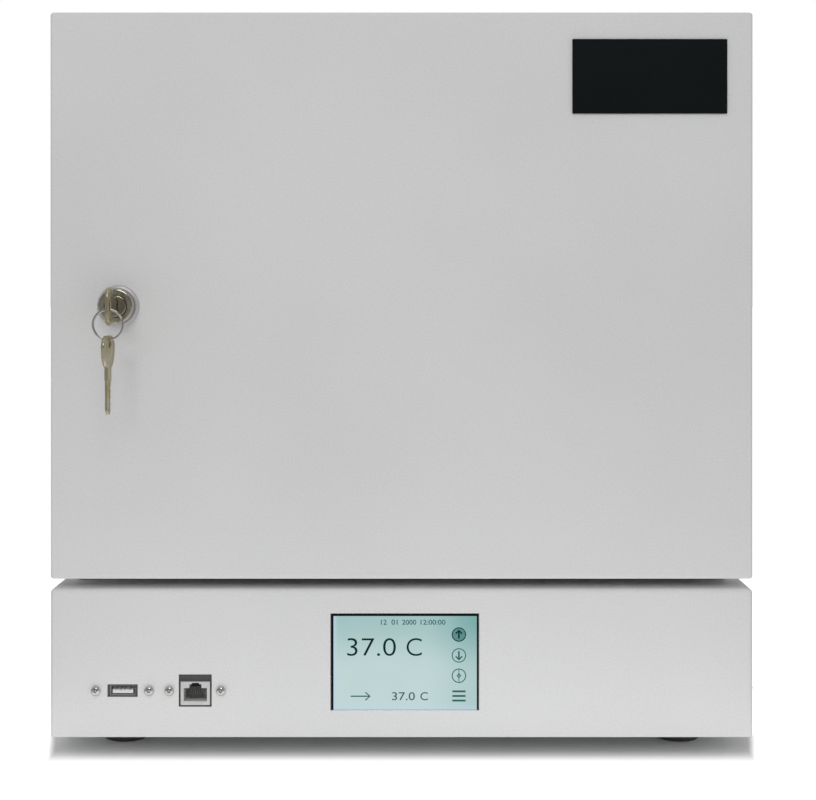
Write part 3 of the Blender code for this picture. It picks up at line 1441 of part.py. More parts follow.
def make_door_liner(half, low, high):
    """A sheet whose middle is drawn back into a raised panel with sloping sides."""
    bm = bmesh.new()
    bmesh.ops.create_grid(bm, x_segments=3, y_segments=3, size=1)
    foot_half = ROOM_HALF - PLUG_CLEAR
    xs = (-half, -foot_half, foot_half, half)
    zs = (low, ROOM_LOW + PLUG_CLEAR, ROOM_HIGH - PLUG_CLEAR, high)
    for vert in bm.verts:
        i = round((vert.co.x + 1) * 1.5)
        j = round((vert.co.y + 1) * 1.5)
        vert.co = (xs[i], DOOR_BACK, zs[j])
    raised = [f for f in bm.faces if abs(f.calc_center_median().x) < foot_half]
    raised = [f for f in raised if zs[1] < f.calc_center_median().z < zs[2]]
    moved = bmesh.ops.extrude_face_region(bm, geom=raised)
    middle = Vector((0, 0, (zs[1] + zs[2]) / 2))
    for vert in [g for g in moved["geom"] if isinstance(g, bmesh.types.BMVert)]:
        vert.co.x -= math.copysign(PLUG_TAPER, vert.co.x)
        vert.co.z -= math.copysign(PLUG_TAPER, vert.co.z - middle.z)
        vert.co.y += PLUG_DEEP
    bmesh.ops.delete(bm, geom=raised, context="FACES_ONLY")
    bmesh.ops.recalc_face_normals(bm, faces=bm.faces)
    bm.normal_update()
    if sum(f.normal.y for f in bm.faces) < 0:
        bmesh.ops.reverse_faces(bm, faces=bm.faces)
    liner = make("door_liner", bm, (0, DOOR_BACK, middle.z), LINER_WHITE)
    wall = liner.modifiers.new("wall", "SOLIDIFY")
    wall.solidify_mode = "NON_MANIFOLD"
    wall.nonmanifold_thickness_mode = "CONSTRAINTS"
    wall.thickness = SHEET
    wall.offset = -1
    return liner


# Lock

def make_lock(door, lock):
    place = (LOCK_X, FRONT_Y, LOCK_Z)
    back = -(CAB_FRONT - FRONT_Y - SWING)
    bore = LOCK_PLUG_D / 2 + RUN
    head = LOCK_HEAD_D / 2
    face = LOCK_FACE_D / 2
    barrel = LOCK_BARREL_D / 2
    profile = [
        (bore, LOCK_FACE_OUT),
        (face - LOCK_EDGE, LOCK_FACE_OUT),
        (face, LOCK_FACE_OUT - LOCK_EDGE),
        (face + LOCK_FLARE, LOCK_RIM_T + LOCK_EDGE),
        (head - LOCK_EDGE, LOCK_RIM_T),
        (head, LOCK_RIM_T - LOCK_EDGE),
        (head, SEAT),
        (barrel, SEAT),
        (barrel, back),
        (bore, back),
    ]
    body = turned("lock_body", [profile], place, LARGE_SIDES, NICKEL, TO_FRONT)

    nut_y = DOOR_BACK + SEAT
    corner_r = LOCK_NUT_W / 2 / math.cos(math.pi / 6)
    hexagon = list(arc((0, 0), corner_r, 30, 390, 6))[:-1]
    hole = ring_hole((0, 0), LOCK_BARREL_D + 2 * SEAT, FINE_SIDES)
    nut_place = Matrix.Translation((LOCK_X, nut_y + LOCK_NUT_T / 2, LOCK_Z)) @ UPRIGHT
    nut = flat("lock_nut", [hexagon, hole], LOCK_NUT_T, nut_place, ZINC)

    r = LOCK_PLUG_D / 2
    top = LOCK_FACE_OUT - PLUG_FACE_IN
    plug = turned(
        "lock_plug",
        [[(0, top), (r, top), (r, back), (0, back)]],
        place,
        LARGE_SIDES,
        NICKEL,
        TO_FRONT,
        closed=False,
    )
    tail = PLUG_TAIL_W / 2
    tail_end = CAM_Y + CAM_T - RUN
    tail_box = box(
        "plug_tail",
        (LOCK_X - tail, FRONT_Y - back - SWING, LOCK_Z - tail),
        (LOCK_X + tail, tail_end, LOCK_Z + tail),
    )
    half_t = KEY_BLADE_T / 2 + KEYWAY_CLEAR
    half_w = KEY_BLADE_W / 2 + KEYWAY_CLEAR
    shoulder = FRONT_Y - LOCK_FACE_OUT - KEY_SHOULDER_OUT
    keyway = box(
        "keyway_cut",
        (LOCK_X - half_t, shoulder - PAST, LOCK_Z - half_w),
        (LOCK_X + half_t, shoulder + KEY_BLADE_L + KEYWAY_EXTRA, LOCK_Z + half_w),
    )
    screw_from = tail_end + PAST
    screw_line = [((LOCK_X, screw_from, LOCK_Z), (LOCK_X, screw_from - CAM_SCREW_L, LOCK_Z))]
    screw_r = CAM_SCREW_D / 2
    screw_cut = rods("plug_screw_cut", screw_line, screw_r + SEAT, SMALL_SIDES, place)
    join(plug, tail_box)
    cut(plug, keyway, screw_cut)

    reach = CAM_REACH - CAM_END_R
    lean = math.degrees(math.asin((CAM_BOSS_R - CAM_END_R) / reach))
    outline = list(arc((0, 0), CAM_BOSS_R, -lean, 180 + lean, CAM_STEPS))
    outline += list(arc((0, -reach), CAM_END_R, 180 + lean, 360 - lean, CAM_STEPS))
    square = tail + SEAT
    corners = [(-square, -square), (square, -square), (square, square), (-square, square)]
    cam_place = Matrix.Translation((LOCK_X, CAM_Y + CAM_T / 2, LOCK_Z)) @ UPRIGHT
    cam = flat("lock_cam", [outline, corners], CAM_T, cam_place, ZINC)

    head_y = -(CAM_Y + CAM_T + SEAT - FRONT_Y)
    head_r = CAM_SCREW_HEAD_D / 2
    screw_end = head_y + CAM_SCREW_L - CAM_SCREW_HEAD_T - 2 * SEAT
    profile = [
        (0, screw_end),
        (screw_r, screw_end),
        (screw_r, head_y),
        (head_r, head_y),
        (head_r, head_y - CAM_SCREW_HEAD_T + CAM_SCREW_EDGE),
        (head_r - CAM_SCREW_EDGE, head_y - CAM_SCREW_HEAD_T),
        (0, head_y - CAM_SCREW_HEAD_T),
    ]
    screw = turned("cam_screw", [profile], place, MEDIUM_SIDES, ZINC, TO_FRONT, closed=False)
    carry(door, body, nut)
    carry(lock, plug, cam, screw)


def key_outlines():
    """Bow with its hole, and the blade with its cuts, along +X from the bow's end."""
    half = KEY_BOW_W / 2
    c = KEY_BOW_CORNER
    neck = KEY_NECK_W / 2
    neck_end = KEY_BOW_L + KEY_NECK_L
    waist = KEY_WAIST_W / 2
    collar = neck_end - KEY_COLLAR_L
    bow = list(arc((c, half - c), c, 180, 90, KEY_STEPS))
    bow += list(arc((KEY_BOW_L - c, half - c), c, 90, 10, KEY_STEPS))
    bow += [(KEY_BOW_L + SWING, waist), (collar, waist), (collar, neck), (neck_end, neck)]
    bow += [(x, -y) for x, y in reversed(bow)]
    blade_half = KEY_BLADE_W / 2
    first = KEY_L - KEY_TIP_L
    blade = [(neck_end - SWING, -blade_half), (first, -blade_half)]
    blade += [(KEY_L, -KEY_TIP_HALF), (KEY_L, KEY_TIP_HALF)]
    step = (first - neck_end - KEY_SHOULDER_RUN) / KEY_CUTS
    ramp = step * KEY_CUT_RAMP
    for k in range(KEY_CUTS):
        x = first - k * step
        floor = blade_half - (KEY_CUT_SHALLOW if k % 2 else KEY_CUT_DEEP)
        blade += [(x, blade_half), (x - ramp, floor), (x - step + ramp, floor)]
    blade += [(first - KEY_CUTS * step, blade_half), (neck_end - SWING, blade_half)]
    return [bow, ring_hole((KEY_HOLE_IN, 0), KEY_HOLE_D, MEDIUM_SIDES)], [blade]


def make_key(name, place):
    bow, blade = key_outlines()
    key = flat(name, bow, KEY_T, place, BRASS)
    return join(key, flat(name + "_blade", blade, KEY_BLADE_T, place))


def make_keys(lock):
    # key in the lock: its length runs to +Y, its width along Z
    inward = Matrix(((0, 0, 1), (1, 0, 0), (0, 1, 0))).to_4x4()
    key = make_key("key", Matrix.Translation((LOCK_X, KEY_END_Y, LOCK_Z)) @ inward)
    key_axis = axis("key_axis", (LOCK_X, KEY_END_Y, LOCK_Z), lock)
    carry(key_axis, key)

    r = RING_WIRE / 2
    circle = list(arc((RING_R, 0), r, 90, -270, RING_WIRE_SIDES))[:-1]
    centre = (LOCK_X, RING_Y, RING_TOP_Z - RING_R)
    ring = turned("key_ring", [circle], centre, LARGE_SIDES, NICKEL, TO_FRONT)
    ring_axis = axis("ring_axis", (LOCK_X, RING_Y, RING_TOP_Z), key_axis)
    carry(ring_axis, ring)

    # spare key: hangs on the ring's lowest point by the upper edge of its hole
    hang = Matrix(((0, 0, 1), (0, 1, 0), (-1, 0, 0))).to_4x4()
    hole_drop = KEY_HOLE_D / 2 - r - SEAT
    end_up = KEY_HOLE_IN - hole_drop
    place = (LOCK_X, RING_Y, SPARE_Z)
    turn = Matrix.Rotation(-SPARE_TURN, 4, "Z")
    raised = Matrix.Translation((0, 0, end_up))
    spare = make_key("spare_key", Matrix.Translation(place) @ turn @ raised @ hang)
    carry(axis("spare_axis", place, ring_axis), spare)


make_base()
make_display()
make_ports()
make_power()
make_cabinet()
make_racks()
make_cooling()
DOOR_AXIS = axis("door_axis", (HINGE_X, HINGE_Y, HINGE_LOW))
LOCK_AXIS = axis("lock_axis", (LOCK_X, FRONT_Y, LOCK_Z), DOOR_AXIS)
make_hinge(DOOR_AXIS)
make_door(DOOR_AXIS)
make_lock(DOOR_AXIS, LOCK_AXIS)
make_keys(LOCK_AXIS)
for piece in PARTS.objects:
    if piece.type == "MESH":
        rounded(piece)
bpy.context.view_layer.update()
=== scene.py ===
# The looks of a bench-top refrigerated incubator, as a lesson in cells

# %% [markdown]
# The model arrives as a frame of plain solids: sheet-metal housings, a hinged door, a lock, fans
# and sockets, each where the real piece sits. This lesson gives each of them the surface and the
# small shapes of the real one. The frame is never moved. A piece either keeps its solid and gets
# a better material, or a finer piece takes its place on the same body.

# %% Load the frame and the tools
import json
import math

import bmesh
import bpy
import numpy as np
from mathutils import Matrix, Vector
from mathutils.bvhtree import BVHTree

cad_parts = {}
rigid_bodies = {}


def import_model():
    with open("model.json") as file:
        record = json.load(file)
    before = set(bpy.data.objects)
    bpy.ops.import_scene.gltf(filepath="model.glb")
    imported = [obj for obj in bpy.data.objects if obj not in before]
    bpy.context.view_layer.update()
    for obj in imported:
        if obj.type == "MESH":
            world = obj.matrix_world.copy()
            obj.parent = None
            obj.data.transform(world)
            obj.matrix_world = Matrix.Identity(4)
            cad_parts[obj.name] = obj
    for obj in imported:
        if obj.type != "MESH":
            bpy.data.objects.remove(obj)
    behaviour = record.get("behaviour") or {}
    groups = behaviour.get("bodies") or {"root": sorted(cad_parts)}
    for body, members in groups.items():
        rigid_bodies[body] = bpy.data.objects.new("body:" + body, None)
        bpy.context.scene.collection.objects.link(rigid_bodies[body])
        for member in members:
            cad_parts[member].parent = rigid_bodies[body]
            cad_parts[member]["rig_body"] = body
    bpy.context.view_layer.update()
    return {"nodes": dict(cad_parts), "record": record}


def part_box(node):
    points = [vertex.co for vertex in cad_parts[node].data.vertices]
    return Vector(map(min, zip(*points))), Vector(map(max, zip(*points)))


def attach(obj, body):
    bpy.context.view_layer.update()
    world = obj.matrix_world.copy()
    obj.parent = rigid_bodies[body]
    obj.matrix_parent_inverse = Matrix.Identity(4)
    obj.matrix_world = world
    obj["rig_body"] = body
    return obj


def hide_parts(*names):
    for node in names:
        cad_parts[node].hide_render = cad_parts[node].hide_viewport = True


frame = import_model()
MM = 0.001
TAU = 2 * math.pi
scene = bpy.context.scene

# %% [markdown]
# The photograph looks straight at the front. The sides of the base recede to one point, which
# lies just right of the middle and about as high as the lower third of the door. A level camera
# at that height, shifted down so that the object sits in the picture, keeps all upright edges
# upright.

# %% Camera
CAMERA_AT = (0.0054, -1.002, 0.2376)
view = bpy.data.cameras.new("photo_camera")
view.lens = 70.28
view.sensor_width = 36
view.shift_x = -0.0049
view.shift_y = -0.1288
camera = bpy.data.objects.new("photo_camera", view)
camera.location = CAMERA_AT
camera.rotation_euler = (math.pi / 2, 0, 0)
scene.collection.objects.link(camera)
scene.camera = camera
print("camera", round(-0.182 - CAMERA_AT[1], 3), "m in front of the door")

# %% [markdown]
# A material or a world is a net of nodes. Written out link by link it is hard to read, so one
# small class wraps a socket. Adding or multiplying two of these makes the Math node that does it,
# and a smooth step reads like a formula.

# %% A socket that can be calculated with
class Field:
    """A number that varies over a surface. Sums and products of fields are fields again."""

    def __init__(self, net, socket):
        self.net = net
        self.socket = socket

    def __add__(self, other):
        return self.net.math("ADD", self, other)

    def __sub__(self, other):
        return self.net.math("SUBTRACT", self, other)

    def __mul__(self, other):
        return self.net.math("MULTIPLY", self, other)

    def __radd__(self, other):
        return self.net.math("ADD", other, self)

    def __rsub__(self, other):
        return self.net.math("SUBTRACT", other, self)

    def __rmul__(self, other):
        return self.net.math("MULTIPLY", other, self)

    def __abs__(self):
        return self.net.math("ABSOLUTE", self)

    def step(self, low, high, from_value=0.0, to_value=1.0):
        """Goes smoothly from one value to the other while the field goes from low to high."""
        return self.net.node(
            "ShaderNodeMapRange",
            {"interpolation_type": "SMOOTHSTEP"},
            {0: self, 1: low, 2: high, 3: from_value, 4: to_value},
        )


# %% A net of nodes with one method for every kind of node
class Net:
    """The nodes of one material or of the world."""

    def __init__(self, tree):
        self.tree = tree
        tree.nodes.clear()

    def node(self, kind, settings=None, sockets=None, out=0):
        """Makes a node with its settings, then its sockets' values or links. Gives one output."""
        made = self.tree.nodes.new(kind)
        for key, value in (settings or {}).items():
            setattr(made, key, value)
        for key, value in (sockets or {}).items():
            if isinstance(value, Field):
                self.tree.links.new(value.socket, made.inputs[key])
            else:
                made.inputs[key].default_value = value
        return Field(self, made.outputs[out]) if made.outputs else None

    def math(self, operation, *terms):
        """One Math node: the operation's name, then its terms in order."""
        return self.node("ShaderNodeMath", {"operation": operation}, dict(enumerate(terms)))

    def object_place(self, scale=(1, 1, 1), turn=(0, 0, 0)):
        """Object coordinates in metres, stretched and turned by a Mapping node."""
        place = self.node("ShaderNodeTexCoord", out="Object")
        return self.node(
            "ShaderNodeMapping", None, {"Vector": place, "Scale": scale, "Rotation": turn}
        )

    def along(self, place):
        """The three coordinates of a place as three fields."""
        split = self.node("ShaderNodeSeparateXYZ", None, {0: place})
        outs = split.socket.node.outputs
        return Field(self, outs[0]), Field(self, outs[1]), Field(self, outs[2])

    def noise(self, scale, detail=2.0, roughness=0.5, stretch=(1, 1, 1), turn=(0, 0, 0)):
        """Cloudy noise between 0 and 1, on stretched and turned object coordinates."""
        place = self.object_place(stretch, turn)
        return self.node(
            "ShaderNodeTexNoise", None,
            {"Vector": place, "Scale": scale, "Detail": detail, "Roughness": roughness},
        )

    def cells(self, scale, feature="F1", out="Distance", stretch=(1, 1, 1)):
        """Cells round scattered points: the distance to the nearest point, or a grey for each."""
        place = self.object_place(stretch)
        return self.node(
            "ShaderNodeTexVoronoi", {"feature": feature}, {"Vector": place, "Scale": scale}, out
        )

    def blend(self, factor, first, second):
        """A colour between two colours."""
        colours = {0: factor}
        for key, value in ((6, first), (7, second)):
            colours[key] = value if isinstance(value, Field) else (*value, 1)
        return self.node("ShaderNodeMix", {"data_type": "RGBA"}, colours, out=2)


# %% [markdown]
# The photograph was taken on white, in broad soft light with a few stronger sources. The world is
# the broad light, a little stronger from above. Polished metal needs something darker in front to
# mirror, as it has in a studio, where the camera and the dark of the room stand there. Without it
# metal looks like white paint. So the world is weaker in front, and for mirrored rays weaker
# still. The camera itself sees plain white.
#
# Four lamps do the rest. One stands above the door, and one high in front like a window gives the
# gleam on the base's bend and on the screws. A narrow strip at the right lights the edges of the
# metal. The strongest stands far in front at the upper left and throws the soft shadows of the
# lock and the keys. Mirrored rays don't see that one, or its square would show in the metal.

# %% Soft studio light
WORLD_TOP = 0.46
WORLD_SIDE = 0.36
WORLD_FRONT = 0.2
MIRROR_FRONT = 0.17

world = bpy.data.worlds.new("studio")
world.use_nodes = True
scene.world = world
sky = Net(world.node_tree)
direction = sky.node("ShaderNodeTexCoord", out="Generated")
_, toward_back, toward_top = sky.along(direction)
from_top = toward_top.step(0.1, 0.95)
from_front = (0.0 - toward_back).step(0.5, 0.97)
mirrored = sky.node("ShaderNodeLightPath", out="Is Glossy Ray")
strength = WORLD_SIDE + from_top * (WORLD_TOP - WORLD_SIDE)
less_in_front = WORLD_SIDE - WORLD_FRONT + mirrored * (WORLD_FRONT - MIRROR_FRONT)
strength = strength - from_front * less_in_front
studio = sky.node("ShaderNodeBackground", None, {"Color": (1, 1, 1, 1), "Strength": strength})
seen = sky.node("ShaderNodeBackground", None, {"Color": (1, 1, 1, 1), "Strength": 1.0})
to_camera = sky.node("ShaderNodeLightPath", out="Is Camera Ray")
both = sky.node("ShaderNodeMixShader", None, {0: to_camera, 1: studio, 2: seen})
sky.node("ShaderNodeOutputWorld", None, {"Surface": both})
scene.view_settings.view_transform = "Standard"


def soft_box(name, at, aim, size, power):
    """A rectangular lamp of so many watts that points from one place at another."""
    lamp = bpy.data.lights.new(name, "AREA")
    lamp.shape = "RECTANGLE"
    lamp.size, lamp.size_y = size
    lamp.energy = power
    box = bpy.data.objects.new(name, lamp)
    box.location = at
    box.rotation_euler = (Vector(aim) - Vector(at)).to_track_quat("-Z", "Y").to_euler()
    scene.collection.objects.link(box)
    return box


soft_box("top_light", (-0.06, -0.35, 1.5), (-0.06, -0.18, 0.38), (0.22, 0.5), 0.7)
soft_box("window_light", (-0.02, -1.2, 0.95), (-0.02, -0.18, 0.25), (0.5, 0.5), 2.05)
soft_box("edge_light", (1.0, -0.95, 0.3), (-0.145, -0.2, 0.25), (0.12, 0.8), 0.6)
front_light = soft_box("front_light", (-0.54, -2.1, 1.0), (-0.02, -0.18, 0.15), (0.5, 0.5), 5.3)
front_light.visible_glossy = False
print("world brightness from top and side:", WORLD_TOP, WORLD_SIDE)

# %% [markdown]
# Every finish below ends in one Principled shader. What changes over a surface is its colour, its
# roughness, how metallic it is, and the small dents that a Bump node turns into shading. The
# dents of paint and castings are well under a millimetre, so the noise scales are in hundreds to
# a metre.

# %% A finish
finishes = {}


class Finish(Net):
    """A material for one of the object's finishes, kept in the list by its name."""

    def __init__(self, name):
        self.name = name
        self.material = bpy.data.materials.new(name)
        self.material.use_nodes = True
        super().__init__(self.material.node_tree)

    def done(self, colour, rough, metal=0.0, dents=None, depth=0.0002, strength=0.3, **more):
        """Joins colour, roughness, metal and dents in one shader and keeps the material."""
        sockets = {"Base Color": colour, "Roughness": rough, "Metallic": metal}
        if not isinstance(colour, Field):
            sockets["Base Color"] = (*colour, 1)
        for key, value in more.items():
            sockets[key.replace("_", " ")] = value
        if dents is not None:
            sockets["Normal"] = self.node(
                "ShaderNodeBump", None, {"Height": dents, "Distance": depth, "Strength": strength}
            )
        shader = self.node("ShaderNodeBsdfPrincipled", None, sockets)
        self.node("ShaderNodeOutputMaterial", None, {"Surface": shader})
        finishes[self.name] = self.material


# %% [markdown]
# Powder coat is melted from dust, so it lies in low round bumps about a millimetre apart, like
# the skin of an orange. It is satin. Fine speckle stands for the dust, and wide soft clouds keep
# a large panel from looking printed.

# %% Powder coat
net = Finish("powder_coat")
peel = net.noise(620, 2, 0.45)
dust = net.noise(1000, 2)
cloud = net.noise(7, 2)
shade = cloud.step(0.3, 0.7) * 0.2 + dust * 0.8
grey = net.blend(shade, (0.712, 0.713, 0.714), (0.888, 0.888, 0.889))
net.done(grey, 0.36 + peel * 0.1 + cloud * 0.04, dents=peel + dust * 0.2, depth=0.0003,
         strength=0.22)

# %% [markdown]
# Zinc on sheet steel freezes in flakes that each catch the light in their own way. Cells of one
# grey each, a few millimetres wide, give the flakes.

# %% Zinc
net = Finish("zinc_sheet")
flake = net.cells(160, out="Color")
flake_grey = net.along(flake)[0]
smear = net.noise(40, 3)
bright = net.blend(flake_grey * 0.7 + smear * 0.3, (0.5, 0.51, 0.52), (0.68, 0.69, 0.69))
dents = smear + net.noise(900) * 0.4
net.done(bright, 0.3 + flake_grey * 0.22, 1.0, dents=dents, strength=0.1)

# %% [markdown]
# Stainless sheet is brushed in one direction. Noise that is about sixty times as long along X as
# across looks like the lines of the belt. The lines change the roughness and the dents and hardly
# the colour.

# %% Stainless steel
net = Finish("stainless")
lines = net.noise(1.6, 3, 0.6, (12, 700, 700))
wear = net.noise(30, 3)
steel = net.blend(lines * 0.5 + wear * 0.5, (0.56, 0.565, 0.57), (0.66, 0.66, 0.655))
net.done(steel, 0.26 + lines * 0.16 + wear * 0.06, 1.0, dents=lines, depth=0.00008, strength=0.25)

# %% [markdown]
# Extruded aluminium shows long die lines and a pale oxide. Saw cuts at its ends are coarser, and
# one stretched noise serves for both, because the sinks sit behind grilles.

# %% Aluminium of the heat sinks
net = Finish("heat_sink_aluminium")
die = net.noise(1.3, 2, 0.6, (900, 900, 14))
bloom = net.noise(60, 3)
pale = net.blend(bloom, (0.7, 0.71, 0.72), (0.79, 0.79, 0.785))
net.done(pale, 0.38 + die * 0.14, 1.0, dents=die, depth=0.0001, strength=0.3)

# %% [markdown]
# The lock and the screws are nickel plated and polished. Handling leaves faint smears and short
# fine scratches, which show only where a lamp mirrors. The lock's face and its plug get a darker,
# warmer nickel, a painted reflection of the brass key and of the dark studio in front.

# %% Nickel
# The second finish is the darker, warmer nickel with a painted reflection of the brass key.
for name, dark, pale in (("nickel", (0.5, 0.485, 0.465), (0.63, 0.615, 0.6)),
                         ("worn_nickel", (0.4, 0.375, 0.31), (0.52, 0.495, 0.42))):
    net = Finish(name)
    smear = net.noise(240, 3)
    scratch = net.noise(1.0, 2, 0.7, (300, 300, 5200), (0.4, 0.7, 0))
    net.done(net.blend(smear, dark, pale), 0.07 + smear * 0.12 + scratch * 0.05, 1.0, dents=scratch,
             depth=0.00003, strength=0.12)

# %% [markdown]
# The shields of the two sockets are stamped from tinned sheet, which is paler and duller than
# nickel.

# %% Tin
net = Finish("tin")
dull = net.noise(260, 3)
net.done(net.blend(dull, (0.6, 0.6, 0.59), (0.7, 0.7, 0.69)), 0.36 + dull * 0.16, 0.35, dents=dull)

# %% [markdown]
# The lock's flange is left as the lathe cut it before plating, so it is satin and looks paler.

# %% Satin nickel
net = Finish("satin_nickel")
turning = net.noise(1.0, 2, 0.6, (900, 60, 900))
net.done(net.blend(turning, (0.54, 0.535, 0.545), (0.62, 0.615, 0.625)), 0.34 + turning * 0.1, 0.5,
         dents=turning, depth=0.00003, strength=0.1)

# %% [markdown]
# The keys are brass under thin nickel. The nickel is worn off in patches, where the yellow comes
# through, and a stamped key keeps fine lines along its length.

# %% Key metal
net = Finish("key_metal")
worn = net.noise(130, 4, 0.6).step(0.42, 0.62)
stroke = net.noise(1.0, 2, 0.6, (2200, 900, 60))
nickel_over_brass = net.blend(worn, (0.46, 0.425, 0.31), (0.42, 0.35, 0.17))
net.done(nickel_over_brass, 0.22 + worn * 0.1 + stroke * 0.1, 1.0, dents=stroke, depth=0.00006)

# %% [markdown]
# The inside of the door is a drawn sheet of white plastic. Its gloss comes from the rollers, with
# a long shallow waviness from the draw.

# %% White liner plastic
net = Finish("liner_plastic")
wave = net.noise(22, 2)
grain = net.noise(1500, 1)
white = net.blend(wave, (0.79, 0.8, 0.79), (0.83, 0.835, 0.825))
net.done(white, 0.26 + grain * 0.1, dents=wave * 0.5 + grain * 0.1, depth=0.0004, strength=0.2)

# %% [markdown]
# Poured foam is a mass of cells with a thin skin, yellow when fresh and browner where air reaches
# it.

# %% Foam
net = Finish("foam")
cell = net.cells(900)
age = net.noise(18, 3)
yellow = net.blend(age, (0.78, 0.69, 0.43), (0.66, 0.55, 0.3))
net.done(yellow, 0.85 + cell * 0.1, dents=cell, depth=0.0006, strength=0.6)

# %% [markdown]
# Rubber feet, the soft vinyl seal and moulded black housings differ in gloss and in grain. Rubber
# is matt with dust in it, vinyl is smooth and slightly cloudy, and the housings come from a mould
# whose steel was etched to a fine leathery grain. The grey and the pale nylon of the sockets
# share it.

# %% Rubber, vinyl and moulded plastics
net = Finish("foot_rubber")
dusty = net.noise(90, 4, 0.6)
black = net.blend(dusty, (0.05, 0.05, 0.05), (0.1, 0.1, 0.098))
net.done(black, 0.62 + dusty * 0.25, dents=net.noise(1400, 2), depth=0.0002, strength=0.35)

net = Finish("gasket_vinyl")
cloudy = net.noise(60, 3)
soft_grey = net.blend(cloudy, (0.27, 0.27, 0.28), (0.33, 0.33, 0.34))
net.done(soft_grey, 0.42 + cloudy * 0.15, dents=net.noise(700), depth=0.0001, strength=0.3)

for name, dark, pale in (("black_plastic", (0.018, 0.018, 0.02), (0.034, 0.034, 0.036)),
                         ("grey_nylon", (0.075, 0.075, 0.077), (0.092, 0.092, 0.094)),
                         ("pale_nylon", (0.58, 0.58, 0.575), (0.64, 0.64, 0.635))):
    net = Finish(name)
    etched = net.cells(2100)
    handled = net.noise(50, 3)
    net.done(net.blend(handled, dark, pale), 0.42 + handled * 0.16, dents=etched, depth=0.00012,
             strength=0.35, Specular_IOR_Level=0.35)

# %% [markdown]
# A circuit board is glass cloth under green lacquer. Copper runs under the lacquer show as paler
# bands on a grid. Ceramic is white with a faint grain, and the module's edges stay plain.

# %% Circuit board and ceramic
net = Finish("circuit_board")
runs = net.cells(420, "DISTANCE_TO_EDGE", stretch=(1, 1, 0.12)).step(0.05, 0.08)
pads = net.cells(340).step(0.1, 0.14)
lacquer = net.blend(runs, (0.03, 0.25, 0.1), (0.012, 0.13, 0.05))
board_colour = net.blend(pads, (0.62, 0.6, 0.5), lacquer)
net.done(board_colour, 0.28 + pads * 0.12, dents=runs, depth=0.00005)

net = Finish("ceramic")
grain = net.noise(800, 3)
net.done(net.blend(grain, (0.82, 0.82, 0.8), (0.88, 0.88, 0.86)), 0.5 + grain * 0.15, dents=grain)

# %% [markdown]
# The plate on the door is black anodised sheet with a matt, very fine grain. Its face is left
# bare.

# %% Black plate
net = Finish("badge")
sheen = net.noise(36, 3)
tooth = net.noise(2400, 1)
plate_black = net.blend(sheen, (0.0035, 0.0055, 0.0058), (0.006, 0.0085, 0.0088))
net.done(plate_black, 0.42 + tooth * 0.12, dents=tooth, depth=0.00006, strength=0.3,
         Specular_IOR_Level=0.1)
print("finishes:", ", ".join(finishes))

# %% [markdown]
# A CAD solid comes as loose triangles with flat shading. Where its shape is right, a copy is
# made, its doubled corners are merged and its flat areas are joined into single faces. Bends are
# shaded smooth and edges stay sharp. A narrow bevel gives each sheet edge the small radius that
# catches light, and weighted normals keep the flat areas flat.

# %% Copies of solids with clean shading
SLOT_OF = {part["node"]: part["material_slot"] for part in frame["record"]["subparts"]}
SMOOTH_BELOW = math.radians(32)
FLAT_WITHIN = math.radians(0.6)
BEVEL_ABOVE = 0.6
MERGE = 1e-6


def cleaned(mesh, is_copy):
    """Merges doubled points and shades bends smooth. A solid's copy has its flat areas joined, and
    a new piece has faces without area taken out and the others turned outwards."""
    work = bmesh.new()
    work.from_mesh(mesh)
    bmesh.ops.remove_doubles(work, verts=work.verts, dist=MERGE)
    if is_copy:
        bmesh.ops.dissolve_limit(
            work, angle_limit=FLAT_WITHIN, verts=work.verts, edges=work.edges, delimit=set()
        )
    else:
        bmesh.ops.dissolve_degenerate(work, edges=work.edges, dist=MERGE / 10)
        bmesh.ops.recalc_face_normals(work, faces=work.faces)
    work.to_mesh(mesh)
    work.free()
    mesh.shade_smooth()
    mesh.set_sharp_from_angle(angle=SMOOTH_BELOW)


def made_of(name, mesh, finish, edge=0.0, segments=2):
    """An object with one finish. Sharp edges get a round of so many millimetres, and weighted
    normals keep the faces between them flat."""
    mesh.materials.clear()
    mesh.materials.append(finishes[finish])
    thing = bpy.data.objects.new(name, mesh)
    scene.collection.objects.link(thing)
    if edge:
        bevel = thing.modifiers.new("edge", "BEVEL")
        bevel.width, bevel.segments = edge * MM, segments
        bevel.limit_method, bevel.angle_limit = "ANGLE", BEVEL_ABOVE
        bevel.use_clamp_overlap = True
        bevel.harden_normals = False
    keep_flat = thing.modifiers.new("flat_faces", "WEIGHTED_NORMAL")
    keep_flat.keep_sharp = True
    keep_flat.weight = 80
    return thing


def dressed(node, edge, segments=2):
    """A tidy copy of a CAD solid that takes its place on the same body."""
    solid = frame["nodes"][node]
    mesh = solid.data.copy()
    cleaned(mesh, True)
    copy = made_of(node + "_skin", mesh, SLOT_OF[node], edge, segments)
    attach(copy, solid["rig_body"])
    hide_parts(node)
    print(copy.name, len(mesh.polygons), "faces")
    return copy


for name, edge in {
    "door_skin": 0.25, "base_cover": 0.25, "cabinet_shell": 0.25, "rear_panel": 0.2,
    "base_pan": 0.2, "chamber_liner": 0.3, "door_liner": 0.6, "air_baffle": 0.2,
    "shelf_rack_left": 0.2, "shelf_rack_right": 0.2, "badge_plate": 0.12,
    "hinge_leaf_cabinet": 0.1, "hinge_leaf_door": 0.1, "lock_nut": 0.3, "lock_cam": 0.2,
    "inner_fan_frame": 0.3, "rear_fan_frame": 0.3, "switch_housing": 0.4, "power_inlet": 0.3,
    "temperature_probe": 0.15,
}.items():
    dressed(name, edge)

# %% [markdown]
# What lies deep inside keeps its solid and gets its finish.

